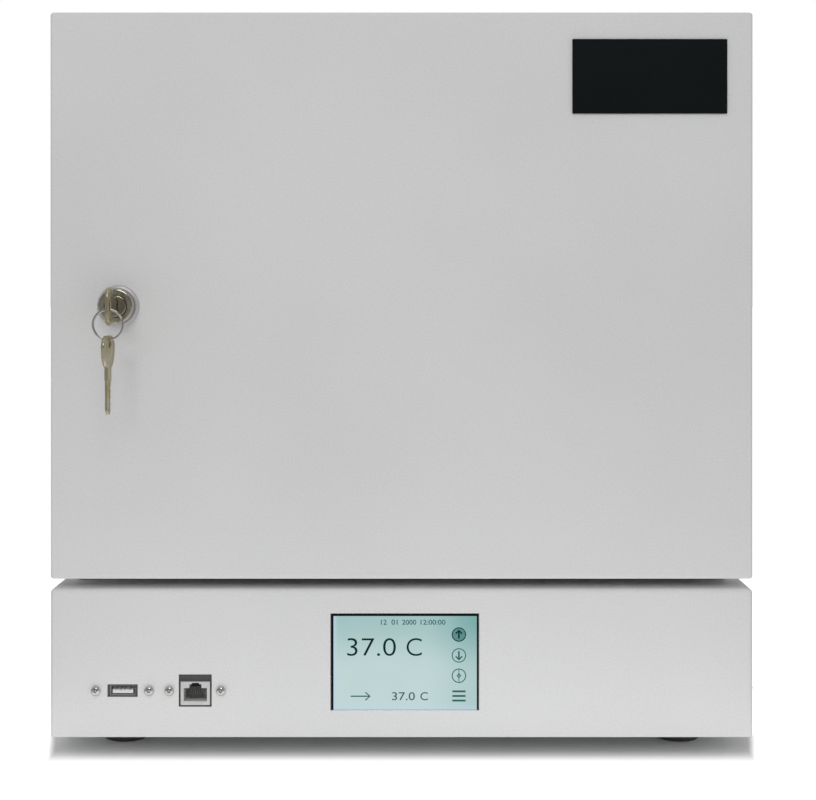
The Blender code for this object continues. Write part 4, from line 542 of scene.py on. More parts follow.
# %% Finishes for the solids that stay
dressed_nodes = {n for n in frame["nodes"] if n + "_skin" in bpy.data.objects}
for name, solid in frame["nodes"].items():
    if name not in dressed_nodes and SLOT_OF[name] in finishes:
        solid.data.materials.clear()
        solid.data.materials.append(finishes[SLOT_OF[name]])
print(len(dressed_nodes), "solids have a finer copy")

# %% [markdown]
# The finer pieces are surfaces on a grid. A grid of points has rows and columns, and each four
# neighbours span one face. A revolved part, a tube along a path and a plate with round edges are
# all such grids: only the formula for the points differs. The helpers below work out whole
# arrays.

# %% Grids of points
def weave(rows, columns, close_rows=False, close_columns=False):
    """Faces between neighbours of a grid: this point, the next column's, both of the next row."""
    r = np.arange(rows if close_rows else rows - 1)[:, None]
    c = np.arange(columns if close_columns else columns - 1)[None]
    r2, c2 = (r + 1) % rows, (c + 1) % columns
    corners = (r * columns + c, r * columns + c2, r2 * columns + c2, r2 * columns + c)
    return np.stack(corners, axis=-1).reshape(-1, 4)


def stacked(rings, joined_ends=False):
    """A skin over rings of equally many points. The ends get caps, or the last meets the first."""
    rings = np.asarray(rings, float)
    rows, count = rings.shape[:2]
    faces = [weave(rows, count, joined_ends, True)]
    if not joined_ends:
        faces += [np.arange(count)[None, ::-1], (rows - 1) * count + np.arange(count)[None]]
    return rings.reshape(-1, 3), faces


def turned(profile, sides, closed=False):
    """Revolves (radius, height) pairs about Z: a point is (r cos a, r sin a, h) for an angle a."""
    r, h = np.asarray(profile, float).T
    a = np.linspace(0, TAU, sides, endpoint=False)[:, None]
    points = np.stack([r * np.cos(a), r * np.sin(a), h + 0 * a], axis=-1)
    return points.reshape(-1, 3), [weave(sides, len(r), True, closed)]


def round_outline(width, height, corner, steps=6):
    """A rectangle with round corners: quarter circles of the corner's radius round four centres."""
    a = (np.arange(4)[:, None] + np.linspace(0, 1, steps + 1)) * TAU / 4
    quarter = np.arange(4)[:, None] * TAU / 4 + TAU / 8
    x = np.sign(np.cos(quarter)) * (width / 2 - corner) + corner * np.cos(a)
    y = np.sign(np.sin(quarter)) * (height / 2 - corner) + corner * np.sin(a)
    return np.stack([x.ravel(), y.ravel()], axis=-1)


def level(outline, height):
    """A flat outline as a ring of points at one height."""
    outline = np.asarray(outline, float)
    return np.column_stack([outline, np.full(len(outline), height)])


def framed(*sizes):
    """Rings on top of each other, each a rectangle's width, height, corner and level."""
    return [level(round_outline(width, height, corner), z) for width, height, corner, z in sizes]


def plate(width, height, thick, corner, edge):
    """A slab from 0 up to its thickness with an upper edge rounded by a quarter circle."""
    a = np.linspace(0, TAU / 4, 4)
    inset, rise = edge * (1 - np.cos(a)), thick - edge + edge * np.sin(a)
    upper = [(width - 2 * i, height - 2 * i, corner - i, z) for i, z in zip(inset, rise)]
    return stacked(framed((width, height, corner, 0), *upper))


def swept(path, section, reference, closed=False):
    """Carries a flat section along a path: side = reference x tangent, up = tangent x side, and a
    point is the path's point + side u + up v."""
    path = np.asarray(path, float)
    step = np.roll(path, -1, 0) - np.roll(path, 1, 0)
    if not closed:
        step[0], step[-1] = path[1] - path[0], path[-1] - path[-2]
    along = step / np.linalg.norm(step, axis=1, keepdims=True)
    side = np.cross(np.broadcast_to(reference, along.shape), along)
    side /= np.linalg.norm(side, axis=1, keepdims=True)
    up = np.cross(along, side)
    u, v = np.asarray(section, float).T
    rings = path[:, None] + side[:, None] * u[:, None] + up[:, None] * v[:, None]
    return stacked(rings, closed)


def circle(radius, sides):
    """A round section: (r cos a, r sin a)."""
    a = np.linspace(0, TAU, sides, endpoint=False)
    return np.stack([radius * np.cos(a), radius * np.sin(a)], axis=-1)


print("a plate of 10 x 6 x 2 has", len(plate(10, 6, 2, 1, 0.3)[0]), "points")

# %% [markdown]
# Each piece is worked out flat on a bench: X to the right, Y up the sheet, Z towards the eye. A
# turn then faces it to the front, back, side or floor, and a move puts it where its solid is.
# Both go into the mesh, so the object itself stays at the origin.

# %% From the bench to the object
FRONT = np.array([(1, 0, 0), (0, 0, 1), (0, -1, 0)], float).T
BACK = np.array([(-1, 0, 0), (0, 0, 1), (0, 1, 0)], float).T
RIGHT = np.array([(0, 1, 0), (0, 0, 1), (1, 0, 0)], float).T
UP = np.eye(3)


def put(shell, at, facing=UP):
    """Turns a shell from the bench to one side and moves it, from millimetres to metres."""
    points, faces = shell
    return (points @ np.asarray(facing).T + np.asarray(at, float)) * MM, faces


def moved(shell, x, y, z):
    """A shell that is shifted on the bench."""
    points, faces = shell
    return points + (x, y, z), faces


def piece(name, shells, body, slot, stands_for=(), finish=None):
    """One object from several shells, with its finish, on its body."""
    start, points, faces = 0, [], []
    for shell_points, shell_faces in shells:
        points.append(shell_points)
        faces += [f + start for f in shell_faces]
        start += len(shell_points)
    points = np.concatenate(points)
    corners = np.concatenate([f.ravel() for f in faces])
    sizes = np.concatenate([np.full(len(f), f.shape[1]) for f in faces])
    mesh = bpy.data.meshes.new(name)
    mesh.vertices.add(len(points))
    mesh.vertices.foreach_set("co", points.astype(np.float32).ravel())
    mesh.loops.add(len(corners))
    mesh.loops.foreach_set("vertex_index", corners.astype(np.int32))
    mesh.polygons.add(len(sizes))
    mesh.polygons.foreach_set("loop_start", (np.cumsum(sizes) - sizes).astype(np.int32))
    mesh.update(calc_edges=True)
    cleaned(mesh, False)
    thing = made_of(name, mesh, finish or slot)
    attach(thing, body)
    if stands_for:
        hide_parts(*stands_for)
    print(name, len(mesh.polygons), "faces")


def ends(node):
    """The two end corners of a CAD node's box, in millimetres."""
    return [np.array(corner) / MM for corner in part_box(node)]


def middle(node):
    """The middle of a CAD node's box, in millimetres."""
    low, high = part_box(node)
    return np.array((low + high) / 2) / MM


# %% [markdown]
# A foot is a tapered rubber puck. Its underside is hollow, where a screw holds it, and its lower
# rim is rounded. One profile revolved gives all of it.

# %% Feet
FOOT = [(0, 3.4), (3.4, 3.4), (3.9, 3.1), (4.5, 0.5), (5.1, 0.0), (10.7, 0.0), (11.5, 0.3),
        (12.0, 1.0), (12.9, 8.6), (13.0, 9.3), (13.0, 9.7), (0, 9.7)]
FOOT_SCREW = [(0, 1.9), (2.1, 1.8), (2.9, 2.2), (3.2, 3.0), (3.2, 3.6), (0, 3.6)]
for side in ("front_left", "front_right", "rear_left", "rear_right"):
    node = "foot_" + side
    x, y, _ = middle(node)
    piece(node + "_rubber", [put(turned(FOOT, 56), (x, y, 0))], "cabinet", "foot_rubber", [node])
    piece(node + "_screw", [put(turned(FOOT_SCREW, 24), (x, y, 0))], "cabinet", "zinc_sheet")

# %% [markdown]
# The lock's body is turned from brass and plated: a raised face with rolled edges, and a threaded
# barrel that the nut holds from behind. Its thin flange on the door is a satin ring of its own,
# with a round rim that gives the bright crescents of the photograph. The plug is a rod that turns
# in the body. Its face has the keyway, a narrow slot with round ends.

# %% Lock body and plug
LOCK_AT = (-145.7, -182.0, 231.8)
thread = np.arange(-25.6, -2.9, 0.5)
barrel = np.column_stack([8.0 - 0.35 * (np.arange(len(thread)) % 2), thread])[::-1]
LOCK_BODY = [(5.65, 8.3), (5.75, 8.75), (6.0, 9.0), (6.15, 9.0), (7.85, 9.0), (8.0, 9.0),
             (8.55, 8.88), (8.95, 8.55), (9.15, 8.0), (9.1, 6.5), (9.0, 3.2), (8.9, 1.0),
             (8.0, 0.1), *map(tuple, barrel), (8.0, -26.2), (5.65, -26.2)]
LOCK_FLANGE = [(8.8, 0.1), (8.9, 2.4), (9.2, 2.62), (9.45, 2.6), (10.2, 2.35), (10.35, 2.25),
               (10.62, 1.9), (10.77, 1.4), (10.8, 0.6), (10.8, 0.1)]
# The lock's body wears the nickel with the painted reflection.
piece("lock_body_plated", [put(turned(LOCK_BODY, 96, True), LOCK_AT, FRONT)], "door", "nickel",
      ["lock_body"], finish="worn_nickel")
piece("lock_flange", [put(turned(LOCK_FLANGE, 96, True), LOCK_AT, FRONT)], "door", "nickel",
      finish="satin_nickel")

plug_round = round_outline(11, 11, 5.5, 11)
plug_end = round_outline(7, 7, 1.2, 11)
keyway = round_outline(2.1, 7.1, 1.0, 11)
plug = [level(outline, z) for outline, z in (
    (plug_end, -31.4), (plug_end, -28.9), (plug_round, -28.9), (plug_round, 8.35),
    (plug_round * 0.975, 8.6), (plug_round * 0.93, 8.7), (plug_round * 0.9, 8.7),
    (keyway * 1.2, 8.7), (keyway * 1.12, 8.7), (keyway, 8.45), (keyway, 3.0))]
# The plug wears the nickel with the painted reflection too.
piece("lock_plug_plated", [put(stacked(plug), LOCK_AT, FRONT)], "lock_plug", "nickel",
      ["lock_plug"], finish="worn_nickel")

# %% [markdown]
# The screw that holds the cam has a pan head with a cross recess, and so have the screws beside
# the sockets. The head is a surface over a disc: its height is a dome, less a recess where the
# point lies near one of two crossed lines. A smooth step on the distance gives the recess its
# sloped walls.

# %% Screw heads
def smooth(t):
    """0 below 0, 1 above 1, and 3 t^2 - 2 t^3 between."""
    t = np.clip(t, 0, 1)
    return t * t * (3 - 2 * t)


def pan_head(radius, height, cross, turn=0.0, rings=18, sides=64):
    """A domed screw head with a cross recess, as a polar grid, on a straight rim down to 0."""
    share = np.linspace(0, 1, rings)[:, None]
    a = np.linspace(0, TAU, sides, endpoint=False)[None]
    x, y = radius * share * np.cos(a), radius * share * np.sin(a)
    near, far = np.minimum(abs(x), abs(y)), np.maximum(abs(x), abs(y))
    wide = cross * 0.3 * (1 - 0.45 * far / cross)
    sunk = smooth((wide - near) / (0.1 * radius) + 0.5) * smooth((cross - far) / (0.16 * radius))
    dome = height * (0.3 + 0.7 * np.sqrt(np.clip(1 - (share * 0.95) ** 2.1, 0, 1)))
    z = dome - 0.42 * height * sunk * (1 - 0.3 * far / radius)
    c, s = math.cos(turn), math.sin(turn)
    top = np.stack([x * c - y * s, x * s + y * c, z], axis=-1)
    painted_shadow_rim = top[-1:].copy()
    painted_shadow_rim[..., 2] = 0
    foot = painted_shadow_rim * (0, 0, 1)
    rows = np.concatenate([top, painted_shadow_rim, foot])
    return rows.reshape(-1, 3), [weave(len(rows), sides, False, True)]


def shank(radius, length):
    """A plain shank below a head, with a blunt end."""
    return turned([(0, 0.2), (radius, 0.2), (radius, 0.4 - length), (0.6 * radius, -length),
                   (0, -length)], 20)


PORT_SCREW_TURNS = (0.35, 1.1, 0.8, 0.15)
PORT_SCREW_Y = -182.3
for number, turn in enumerate(PORT_SCREW_TURNS, 1):
    node = "port_screw_%d" % number
    x, _, z = middle(node)
    at = (x, PORT_SCREW_Y, z)
    piece(node + "_plated", [put(pan_head(2.35, 2.0, 1.0, turn), at, FRONT),
                             put(shank(1.4, 5.9), at, FRONT)], "cabinet", "nickel", [node])

CAM_SCREW_AT = (LOCK_AT[0], -150.4, LOCK_AT[2])
shells = [put(s, CAM_SCREW_AT, BACK) for s in (pan_head(4.75, 2.1, 2.6, 0.5), shank(1.7, 6.0))]
piece("cam_screw_plated", shells, "lock_plug", "zinc_sheet", ["cam_screw"])

# %% [markdown]
# A key is stamped from sheet. Its bow is a plate with a rounded rim that narrows towards the
# neck. It has a hole for the ring and a shallow field on each side for the thumb. The neck steps
# in to the blade, which is milled: cuts along one edge for the pins, and a groove along each face
# for the wards of the keyway.

# %% Keys
KEY_HOLE_IN = 3.7
BOW_L, BOW_W, NECK_L, BLADE_L = 16.4, 19.2, 6.6, 16.2


def bow(thick):
    """A rounded plate with a hole: rings from the hole's edge over the rim and back, both sides."""
    out = round_outline(BOW_L, BOW_W, 6.0, 12) + (BOW_L / 2, 0)
    out[:, 1] *= 1 - 0.24 * smooth((out[:, 0] - 7) / (BOW_L - 7))
    hole = round_outline(5, 5, 2.5, 12) + (KEY_HOLE_IN, 0)
    half, centre = thick / 2, np.array((BOW_L / 2, 0))

    def between(share):
        return hole * (1 - share) + out * share

    def shrunk(scale):
        return (out - centre) * scale + centre

    side = [(hole, half - 0.25), (between(0.04), half), (between(0.36), half),
            (between(0.42), half - 0.22), (between(0.76), half - 0.22), (between(0.82), half),
            (shrunk(0.935), half), (shrunk(0.965), half - 0.1), (shrunk(0.988), half - 0.4),
            (shrunk(1.0), half - 0.85)]
    rings = [level(o, z) for o, z in side] + [level(o, -z) for o, z in side[::-1]]
    return stacked(rings, True)


def neck(thick):
    """The step between bow and blade, a small rounded plate."""
    step = plate(NECK_L + 1.2, 6.6, thick, 0.8, 0.25)
    return moved(step, BOW_L + NECK_L / 2 - 0.6, 0, -thick / 2)


def blade(thick):
    """A grid along the blade and round its section. The lower edge follows the cuts, and the
    thickness is less where the groove runs."""
    start, end = BOW_L + NECK_L - 0.5, BOW_L + NECK_L + BLADE_L
    along = np.linspace(start, end, 64)
    first, pitch = end - 2.0, (BLADE_L - 3.5) / 4
    knots, depth = [start, end - 2.0 - 4 * pitch], [0, 0]
    for cut in range(4):
        base = first - (4 - cut) * pitch
        knots += [base + pitch * 0.36, base + pitch * 0.62, base + pitch * 0.98]
        deepest = (1.1, 0.7)[cut % 2]
        depth += [deepest, deepest, 0.15]
    knots, depth = knots + [first + 0.1, end], depth + [0.3, 2.1]
    low = -2.8 + np.interp(along, knots, depth)
    high = 2.8 - np.interp(along, [end - 2.0, end], [0, 2.1])
    half = thick / 2
    inner = [np.clip(w, low + 0.3, high - 0.3) for w in (-0.9, -0.7, 0.2, 0.4)]
    across = [low, low + 0.25, *inner, high - 0.25, high]
    t = [half * 0.55, half, half, half - 0.35, half - 0.35, half, half, half * 0.55]
    front, back = ([np.stack([along, w, np.full_like(along, way * k)], -1)
                    for w, k in zip(across, t)] for way in (1, -1))
    return stacked(np.stack(front + back[::-1], axis=1))


def key_shells(facing, at):
    """Bow, neck and blade, placed by the middle of the bow's hole."""
    parts = (bow(2.0), neck(1.8), blade(1.5))
    return [put(moved(shell, -KEY_HOLE_IN, 0, 0), at, facing) for shell in parts]


KEY_X, KEY_Y = LOCK_AT[0], -210.5
piece("key_plated", key_shells(RIGHT, (KEY_X, KEY_Y, LOCK_AT[2])), "key", "key_metal", ["key"])

SPARE_TURN = -math.radians(5)
sideways = np.array((math.sin(SPARE_TURN), -math.cos(SPARE_TURN), 0))
down = np.array((0, 0, -1.0))
hanging = np.array([down, sideways, np.cross(down, sideways)]).T
piece("spare_key_plated", key_shells(hanging, (KEY_X, KEY_Y, 213.7)), "spare_key", "key_metal",
      ["spare_key"])

# %% [markdown]
# The ring is a flat wire wound twice, so that a key can be threaded on. It steps from one turn to
# the other in a short slope, and its two ends show beside the step.

# %% Split ring
RING_AT = (KEY_X, KEY_Y, 222.75)
RING_R, RING_START, RING_STEP = 7.45, 0.9, 0.5
a = np.linspace(0, 2 * TAU - RING_STEP, 200) + RING_START
lie = -0.31 + 0.62 * smooth((a - RING_START - TAU + RING_STEP) / RING_STEP)
path = np.stack([RING_R * np.cos(a), RING_R * np.sin(a), lie], axis=-1)
wire = round_outline(1.05, 0.58, 0.2, 2)
ring = swept(path, wire, (0, 0, 1))
piece("key_ring_plated", [put(ring, RING_AT, FRONT)], "key_ring", "nickel", ["key_ring"])

# %% [markdown]
# The display is a liquid crystal panel behind the base's front. Its light is an emission colour:
# pale teal, whitest in the lower middle, deeper towards the top and the right, bluish along the
# left and lower edges, where the backlight's lamps sit. A black border runs round it. Everything
# is a formula on the place on the panel, so the lit field has clean edges at any size.

# %% Display glass
LIT_LEFT, LIT_RIGHT, LIT_LOW, LIT_HIGH = -35.0, 38.74, 23.95, 72.25
net = Finish("screen")
IN_MM = (1000, 1000, 1000)
across, _, up = net.along(net.object_place(IN_MM))


def inside(value, low, high, soft=0.12):
    """1 between two limits, 0 outside, with a narrow smooth edge."""
    return value.step(low - soft, low + soft) * value.step(high - soft, high + soft, 1.0, 0.0)


lit = inside(across, LIT_LEFT, LIT_RIGHT) * inside(up, LIT_LOW, LIT_HIGH)
deep = up.step(44, 72) * 0.42 + across.step(10, 42) * (0.26 + up.step(30, 72) * 0.22)
deep = deep + net.noise(0.06, stretch=IN_MM) * 0.14
teal = net.blend(deep, (0.615, 0.775, 0.77), (0.2, 0.44, 0.43))
blue_edge = across.step(LIT_LEFT, LIT_LEFT + 2.6, 0.7, 0.0)
blue_edge = blue_edge + up.step(LIT_LOW, LIT_LOW + 5, 0.4, 0.0)
teal = net.blend(blue_edge, teal, (0.56, 0.74, 0.86))
glow = net.blend(lit, (0.0, 0.0, 0.0), teal)
rubbed = net.noise(0.05, 3, stretch=IN_MM)
net.done(net.blend(rubbed, (0.001, 0.0015, 0.004), (0.002, 0.003, 0.006)), 0.12 + rubbed * 0.1,
         Emission_Color=glow, Emission_Strength=0.88, Specular_IOR_Level=0.12)

low, high = ends("display_glass")
width, thick, height = high - low
x, _, z = middle("display_glass")
glass = plate(width, height, thick, 0.5, 0.15)
piece("display_glass_lit", [put(glass, (x, high[1], z), FRONT)], "cabinet", "screen",
      ["display_glass"])
INK_Y = high[1] - thick - 0.01

# %% [markdown]
# The readings are plain figures in a light sans face, and the keys beside them are four generic
# signs: up, down, a probe and a menu. Figures come from Blender's own font, made a little thinner
# or bolder, made a mesh and set to the height that they have on the panel. They are a fiftieth of
# a millimetre thick.

# %% Ink of the display
for name, dark, pale in (("ink_dark", (0.003, 0.02, 0.023), (0.006, 0.028, 0.03)),
                         ("ink_mid", (0.028, 0.115, 0.115), (0.038, 0.135, 0.13)),
                         ("ink_pale", (0.1, 0.25, 0.24), (0.12, 0.28, 0.27))):
    net = Finish(name)
    fade = net.noise(700)
    net.done((0.0, 0.0, 0.0), 0.5, Emission_Color=net.blend(fade, dark, pale),
             Emission_Strength=1.0, Specular_IOR_Level=0.0)


def figures(text, left, right, low, high, thin):
    """Letters as a shell that fills a width and a height, on the bench at 0."""
    curve = bpy.data.curves.new("figures", "FONT")
    curve.body = text
    curve.extrude = 0.01
    curve.offset = -thin
    curve.resolution_u = 6
    temporary = bpy.data.objects.new("figures", curve)
    mesh = bpy.data.meshes.new_from_object(temporary)
    points = np.empty(len(mesh.vertices) * 3)
    mesh.vertices.foreach_get("co", points)
    points = points.reshape(-1, 3)
    mesh.calc_loop_triangles()
    tris = np.empty(len(mesh.loop_triangles) * 3, np.int32)
    mesh.loop_triangles.foreach_get("vertices", tris)
    bpy.data.objects.remove(temporary)
    bpy.data.curves.remove(curve)
    bpy.data.meshes.remove(mesh)
    lows, highs = points.min(0), points.max(0)
    size = np.array((right - left, high - low, 0.02))
    return (points - lows) / (highs - lows) * size + (left, low, 0), [tris.reshape(-1, 3)]


def ribbon(path, width, thick=0.02, closed=False):
    """A flat stroke of one width along a path on the bench."""
    path = np.asarray(path, float)
    path = np.column_stack([path, np.full(len(path), thick / 2)]) if path.shape[1] == 2 else path
    half = width / 2
    section = [(-half, -thick / 2), (half, -thick / 2), (half, thick / 2), (-half, thick / 2)]
    return swept(path, section, (0, 0, 1), closed)


def ring_of(radius, width, at):
    """A flat ring stroke."""
    return ribbon(circle(radius, 40) + at, width, closed=True)


KEYS_X, KEY_R = 29.55, 3.45
UP_KEY, DOWN_KEY, PROBE_KEY = 62.75, 52.0, 41.55


def ink(name, shells, finish):
    """Strokes on the face of the glass."""
    piece(name, [put(s, (0, INK_Y, 0), FRONT) for s in shells], "cabinet", "screen", finish=finish)


def arrow(x, z, way, reach=2.2):
    """A shaft with two barbs, pointing up (1) or down (-1)."""
    tip = (x, z + way * reach)
    shaft = ribbon([(x, z - way * reach), (x, z + way * (reach - 0.3))], 0.85)
    barbs = ribbon([(x - 1.65, z + way * 0.45), tip, (x + 1.65, z + way * 0.45)], 0.8)
    return [shaft, barbs]


def disc(radius, at):
    """A flat round patch."""
    outline = circle(radius, 40) + at
    return stacked([level(outline, 0), level(outline, 0.012)])


READINGS = {
    "reading_large": ("ink_dark", 51.75, 60.9, 0.009, [("37.0", -28.0, -2.9), ("C", 2.6, 10.5)]),
    "reading_set": ("ink_mid", 28.9, 33.1, -0.004, [("37.0", -4.9, 6.9), ("C", 9.7, 13.6)]),
    "clock": ("ink_mid", 67.8, 70.4, -0.012, [
        ("12", -10.6, -7.6), ("01", -5.2, -2.0), ("2000", 0.3, 7.6), ("12:00:00", 9.8, 22.6)]),
}
for name, (finish, low, high, thin, words) in READINGS.items():
    ink(name, [figures(*word, low, high, thin) for word in words], finish)
ink("set_mark", [ribbon([(-26.2, 31.0), (-16.4, 31.0)], 0.65),
                 ribbon([(-18.6, 33.0), (-16.2, 31.0), (-18.6, 29.0)], 0.65)], "ink_mid")
ink("key_rings", [ring_of(KEY_R, 0.5, (KEYS_X, k)) for k in (UP_KEY, DOWN_KEY, PROBE_KEY)]
    + arrow(KEYS_X, DOWN_KEY, -1), "ink_mid")
ink("key_up_disc", [disc(KEY_R - 0.2, (KEYS_X, UP_KEY))], "ink_pale")
ink("key_up", [ring_of(KEY_R, 0.55, (KEYS_X, UP_KEY)), *arrow(KEYS_X, UP_KEY, 1, 2.1)], "ink_dark")
stem = ribbon([(KEYS_X, PROBE_KEY - 3.2), (KEYS_X, PROBE_KEY + 3.2)], 0.38)
drop = ribbon(np.array([(-0.9, 0), (0, 1.1), (0.9, 0), (0, -1.1)]) + (KEYS_X, PROBE_KEY), 0.6,
              closed=True)
ink("key_probe", [stem, drop], "ink_mid")
ink("key_menu", [ribbon([(26.15, k), (33.0, k)], 0.98) for k in (33.5, 31.13, 28.77)], "ink_mid")

# %% [markdown]
# The serial socket is a shell of thin tinned steel in a moulded flange behind the panel, set back
# a little from it. Its mouth is slightly flared, and that edge catches the light. A white block
# closes the back of the mouth. A white tongue stands out of the block with four plated contacts
# on it, which bend down over its front edge.

# %% Serial socket
ux, _, uz = middle("usb_jack")
RIM_Y = -181.8
USB_Y = RIM_Y + 0.7
mouth = framed(
    (13.6, 5.8, 0.7, -0.15), (13.4912, 5.7536, 0.6944, 0.0), (12.9, 5.1, 0.5, 0.0),
    (12.6, 4.8, 0.4, -0.25), (12.6, 4.8, 0.4, -12.15), (13.6, 5.8, 0.7, -12.15))
tail = moved(plate(13.6, 5.8, 4.0, 0.6, 0.4), 0, 0, -16.0)
piece("serial_shell", [put(s, (ux, USB_Y, uz), FRONT) for s in (stacked(mouth, True), tail)],
      "cabinet", "stainless", ["usb_jack"], finish="tin")
flange = framed((35, 13, 1.5, -0.4), (35, 13, 1.5, -1.9), (13.0, 5.2, 0.5, -1.9),
                (13.0, 5.2, 0.5, -0.4))
piece("serial_flange", [put(stacked(flange, True), (ux, RIM_Y, uz), FRONT)],
      "cabinet", "stainless", finish="grey_nylon")
tongue = moved(plate(10.6, 2.0, 11.4, 0.3, 0.3), 0, -0.6, -12.2)
block = moved(plate(12.5, 4.7, 4.0, 0.3, 0.2), 0, 0, -10.5)
piece("serial_tongue", [put(s, (ux, RIM_Y, uz), FRONT) for s in (tongue, block)],
      "cabinet", "black_plastic", finish="liner_plastic")
contact = np.array([(0, 0.5, -9.0), (0, 0.5, -0.95), (0, 0.36, -0.7), (0, -0.1, -0.68)])
bars = [swept(contact + (k, 0, 0), round_outline(1.0, 0.24, 0.06, 1), (1, 0, 0))
        for k in (-3.5, -1.0, 1.0, 3.5)]
piece("serial_contacts", [put(s, (ux, RIM_Y, uz), FRONT) for s in bars], "cabinet", "nickel")

# %% [markdown]
# The network socket keeps its solid, with its mouth, step and latch slot. Only the front of its
# shield is metal. Its bracket is dark nylon, and the inside of its mouth is pale nylon. A face is
# sorted by where its middle lies: in the shield's rectangle and in front of the bracket, or in
# the mouth's rectangle and deeper. Eight plated wires lie on a slope at the back of the mouth,
# each bent down from a black comb.

# %% Network socket
socket = dressed("ethernet_jack", 0.15)
nx = middle("ethernet_jack")[0]
MOUTH_RISE = 4.5
mouth_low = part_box("ethernet_jack")[0][2] / MM + MOUTH_RISE
SHIELD_BACK, MOUTH_FRONT = -180.6, -178.5
centres = np.empty(len(socket.data.polygons) * 3)
socket.data.polygons.foreach_get("center", centres)
centres = centres.reshape(-1, 3) / MM
aside, above = abs(centres[:, 0] - nx), centres[:, 2] - mouth_low
in_shield = (aside < 7.6) & (above > -2.1) & (above < 10.1) & (centres[:, 1] < SHIELD_BACK)
in_mouth = (aside < 6.0) & (above > -0.1) & (above < 9.5) & (centres[:, 1] > MOUTH_FRONT)
socket.data.materials.clear()
for name in ("tin", "grey_nylon", "pale_nylon"):
    socket.data.materials.append(finishes[name])
part = np.where(in_mouth, 2, np.where(in_shield, 0, 1)).astype(np.int32)
socket.data.polygons.foreach_set("material_index", part)
print("faces of shield, bracket and mouth:", np.bincount(part))
wires = []
for k in range(8):
    x = (k - 3.5) * 1.02
    path = [(x, 5.0, -12.5), (x, 4.6, -11.0), (x, 1.4, -5.4), (x, 0.7, -4.6), (x, 0.45, -5.4),
            (x, 0.4, -12.0)]
    wires.append(put(swept(path, circle(0.22, 8), (1, 0, 0)), (nx, RIM_Y, mouth_low), FRONT))
piece("network_contacts", wires, "cabinet", "nickel")
comb = moved(plate(11.4, 1.6, 0.9, 0.2, 0.2), 0, 5.6, -12.9)
piece("network_comb", [put(comb, (nx, RIM_Y, mouth_low), FRONT)], "cabinet", "black_plastic")

# %% [markdown]
# The rocker keeps its solid with rounded edges. Its two faces carry the plain bar and ring that
# every such switch has. A ray cast at each face says where it lies and which way it looks, and
# the mark is laid there.

# %% Rocker and its marks
dressed("switch_rocker", 0.5, 3)
net = Finish("white_mark")
net.done(net.blend(net.noise(900), (0.72, 0.72, 0.72), (0.8, 0.8, 0.8)), 0.5)


def laid_on(solid, at, toward):
    """Where a ray meets a solid: the place, and a turn whose third column is the face's normal."""
    mesh = solid.data
    tree = BVHTree.FromPolygons([v.co for v in mesh.vertices], [p.vertices for p in mesh.polygons])
    spot, normal, _, _ = tree.ray_cast(Vector(at) * MM, Vector(toward))
    out = np.array(normal)
    side = np.array((0, 1.0, 0))
    rise = np.cross(out, side)
    return np.array(spot) / MM, np.array([side, rise / np.linalg.norm(rise), out]).T


rx, ry, rz = middle("switch_rocker")
solid = frame["nodes"]["switch_rocker"]
shells = []
for rise, mark in ((5.0, ribbon([(0, -1.6), (0, 1.6)], 0.7, 0.05)),
                   (-5.0, ribbon(circle(1.35, 32), 0.6, 0.05, True))):
    spot, turn = laid_on(solid, (rx + 30, ry, rz + rise), (-1, 0, 0))
    shells.append(put(mark, spot, turn))
piece("rocker_marks", shells, "switch_rocker", "black_plastic", finish="white_mark")

# %% [markdown]
# The mains inlet is moulded black with three flat nickel-plated pins. Each pin is a small plate
# with a tapered tip that sheathes the solid's own. Two countersunk screws hold its flange.

# %% Mains inlet
ix, _, iz = middle("power_inlet")
inlet_back = ends("power_inlet")[1][1]
pin = stacked(framed((2.1, 4.1, 0.5, -16.2), (2.1, 4.1, 0.5, -3.6), (1.5, 3.5, 0.4, -2.75)))
pins = [put(pin, (ix + aside, inlet_back, iz + rise), BACK)
        for aside, rise in ((7, -2), (0, 2), (-7, -2))]
piece("inlet_pins", pins, "cabinet", "nickel")
heads = [put(pan_head(2.7, 1.1, 1.6, 0.4 + k), (ix + k * 20, inlet_back - 1.15, iz), BACK)
         for k in (-1, 1)]
piece("inlet_screws", heads, "cabinet", "nickel")

# %% [markdown]
# Seven blades lean forward round a hub. A blade is a strip of a helix: along its chord the angle
# grows and it climbs, and it thins towards the tip. Its section is a closed loop, fat in the
# middle and thin at the edges, carried from root to tip.

# %% Fan rotors
FAN_Z = 231.85


def fan_blade(start, root, tip, half_depth):
    """Loops round the section, one for each radius: angle = start + sweep (t + lean share), climb =
    half depth (1 - taper share) (t + camber (1 - t^2)), and thickness across the chord."""
    sweep, lean, taper, camber = math.radians(19), 0.5, 0.35, 0.15
    share = np.linspace(0, 1, 9)[:, None]
    t = np.concatenate([np.linspace(-1, 1, 13), np.linspace(1, -1, 13)[1:-1]])[None]
    face = np.concatenate([np.ones(13), -np.ones(11)])[None]
    r = root + (tip - root) * share
    depth = half_depth * (1 - taper * share)
    a = start + sweep * (t + lean * share)
    climb = depth * (t + camber * (1 - t * t))
    thick = (0.28 + 0.45 * (1 - t ** 4)) * (1 - 0.35 * share)
    chord = np.hypot(r * sweep, depth)
    a = a + face * thick * depth / chord / r
    climb = climb - face * thick * r * sweep / chord
    return stacked(np.stack([r * np.cos(a), r * np.sin(a), -climb], axis=-1))


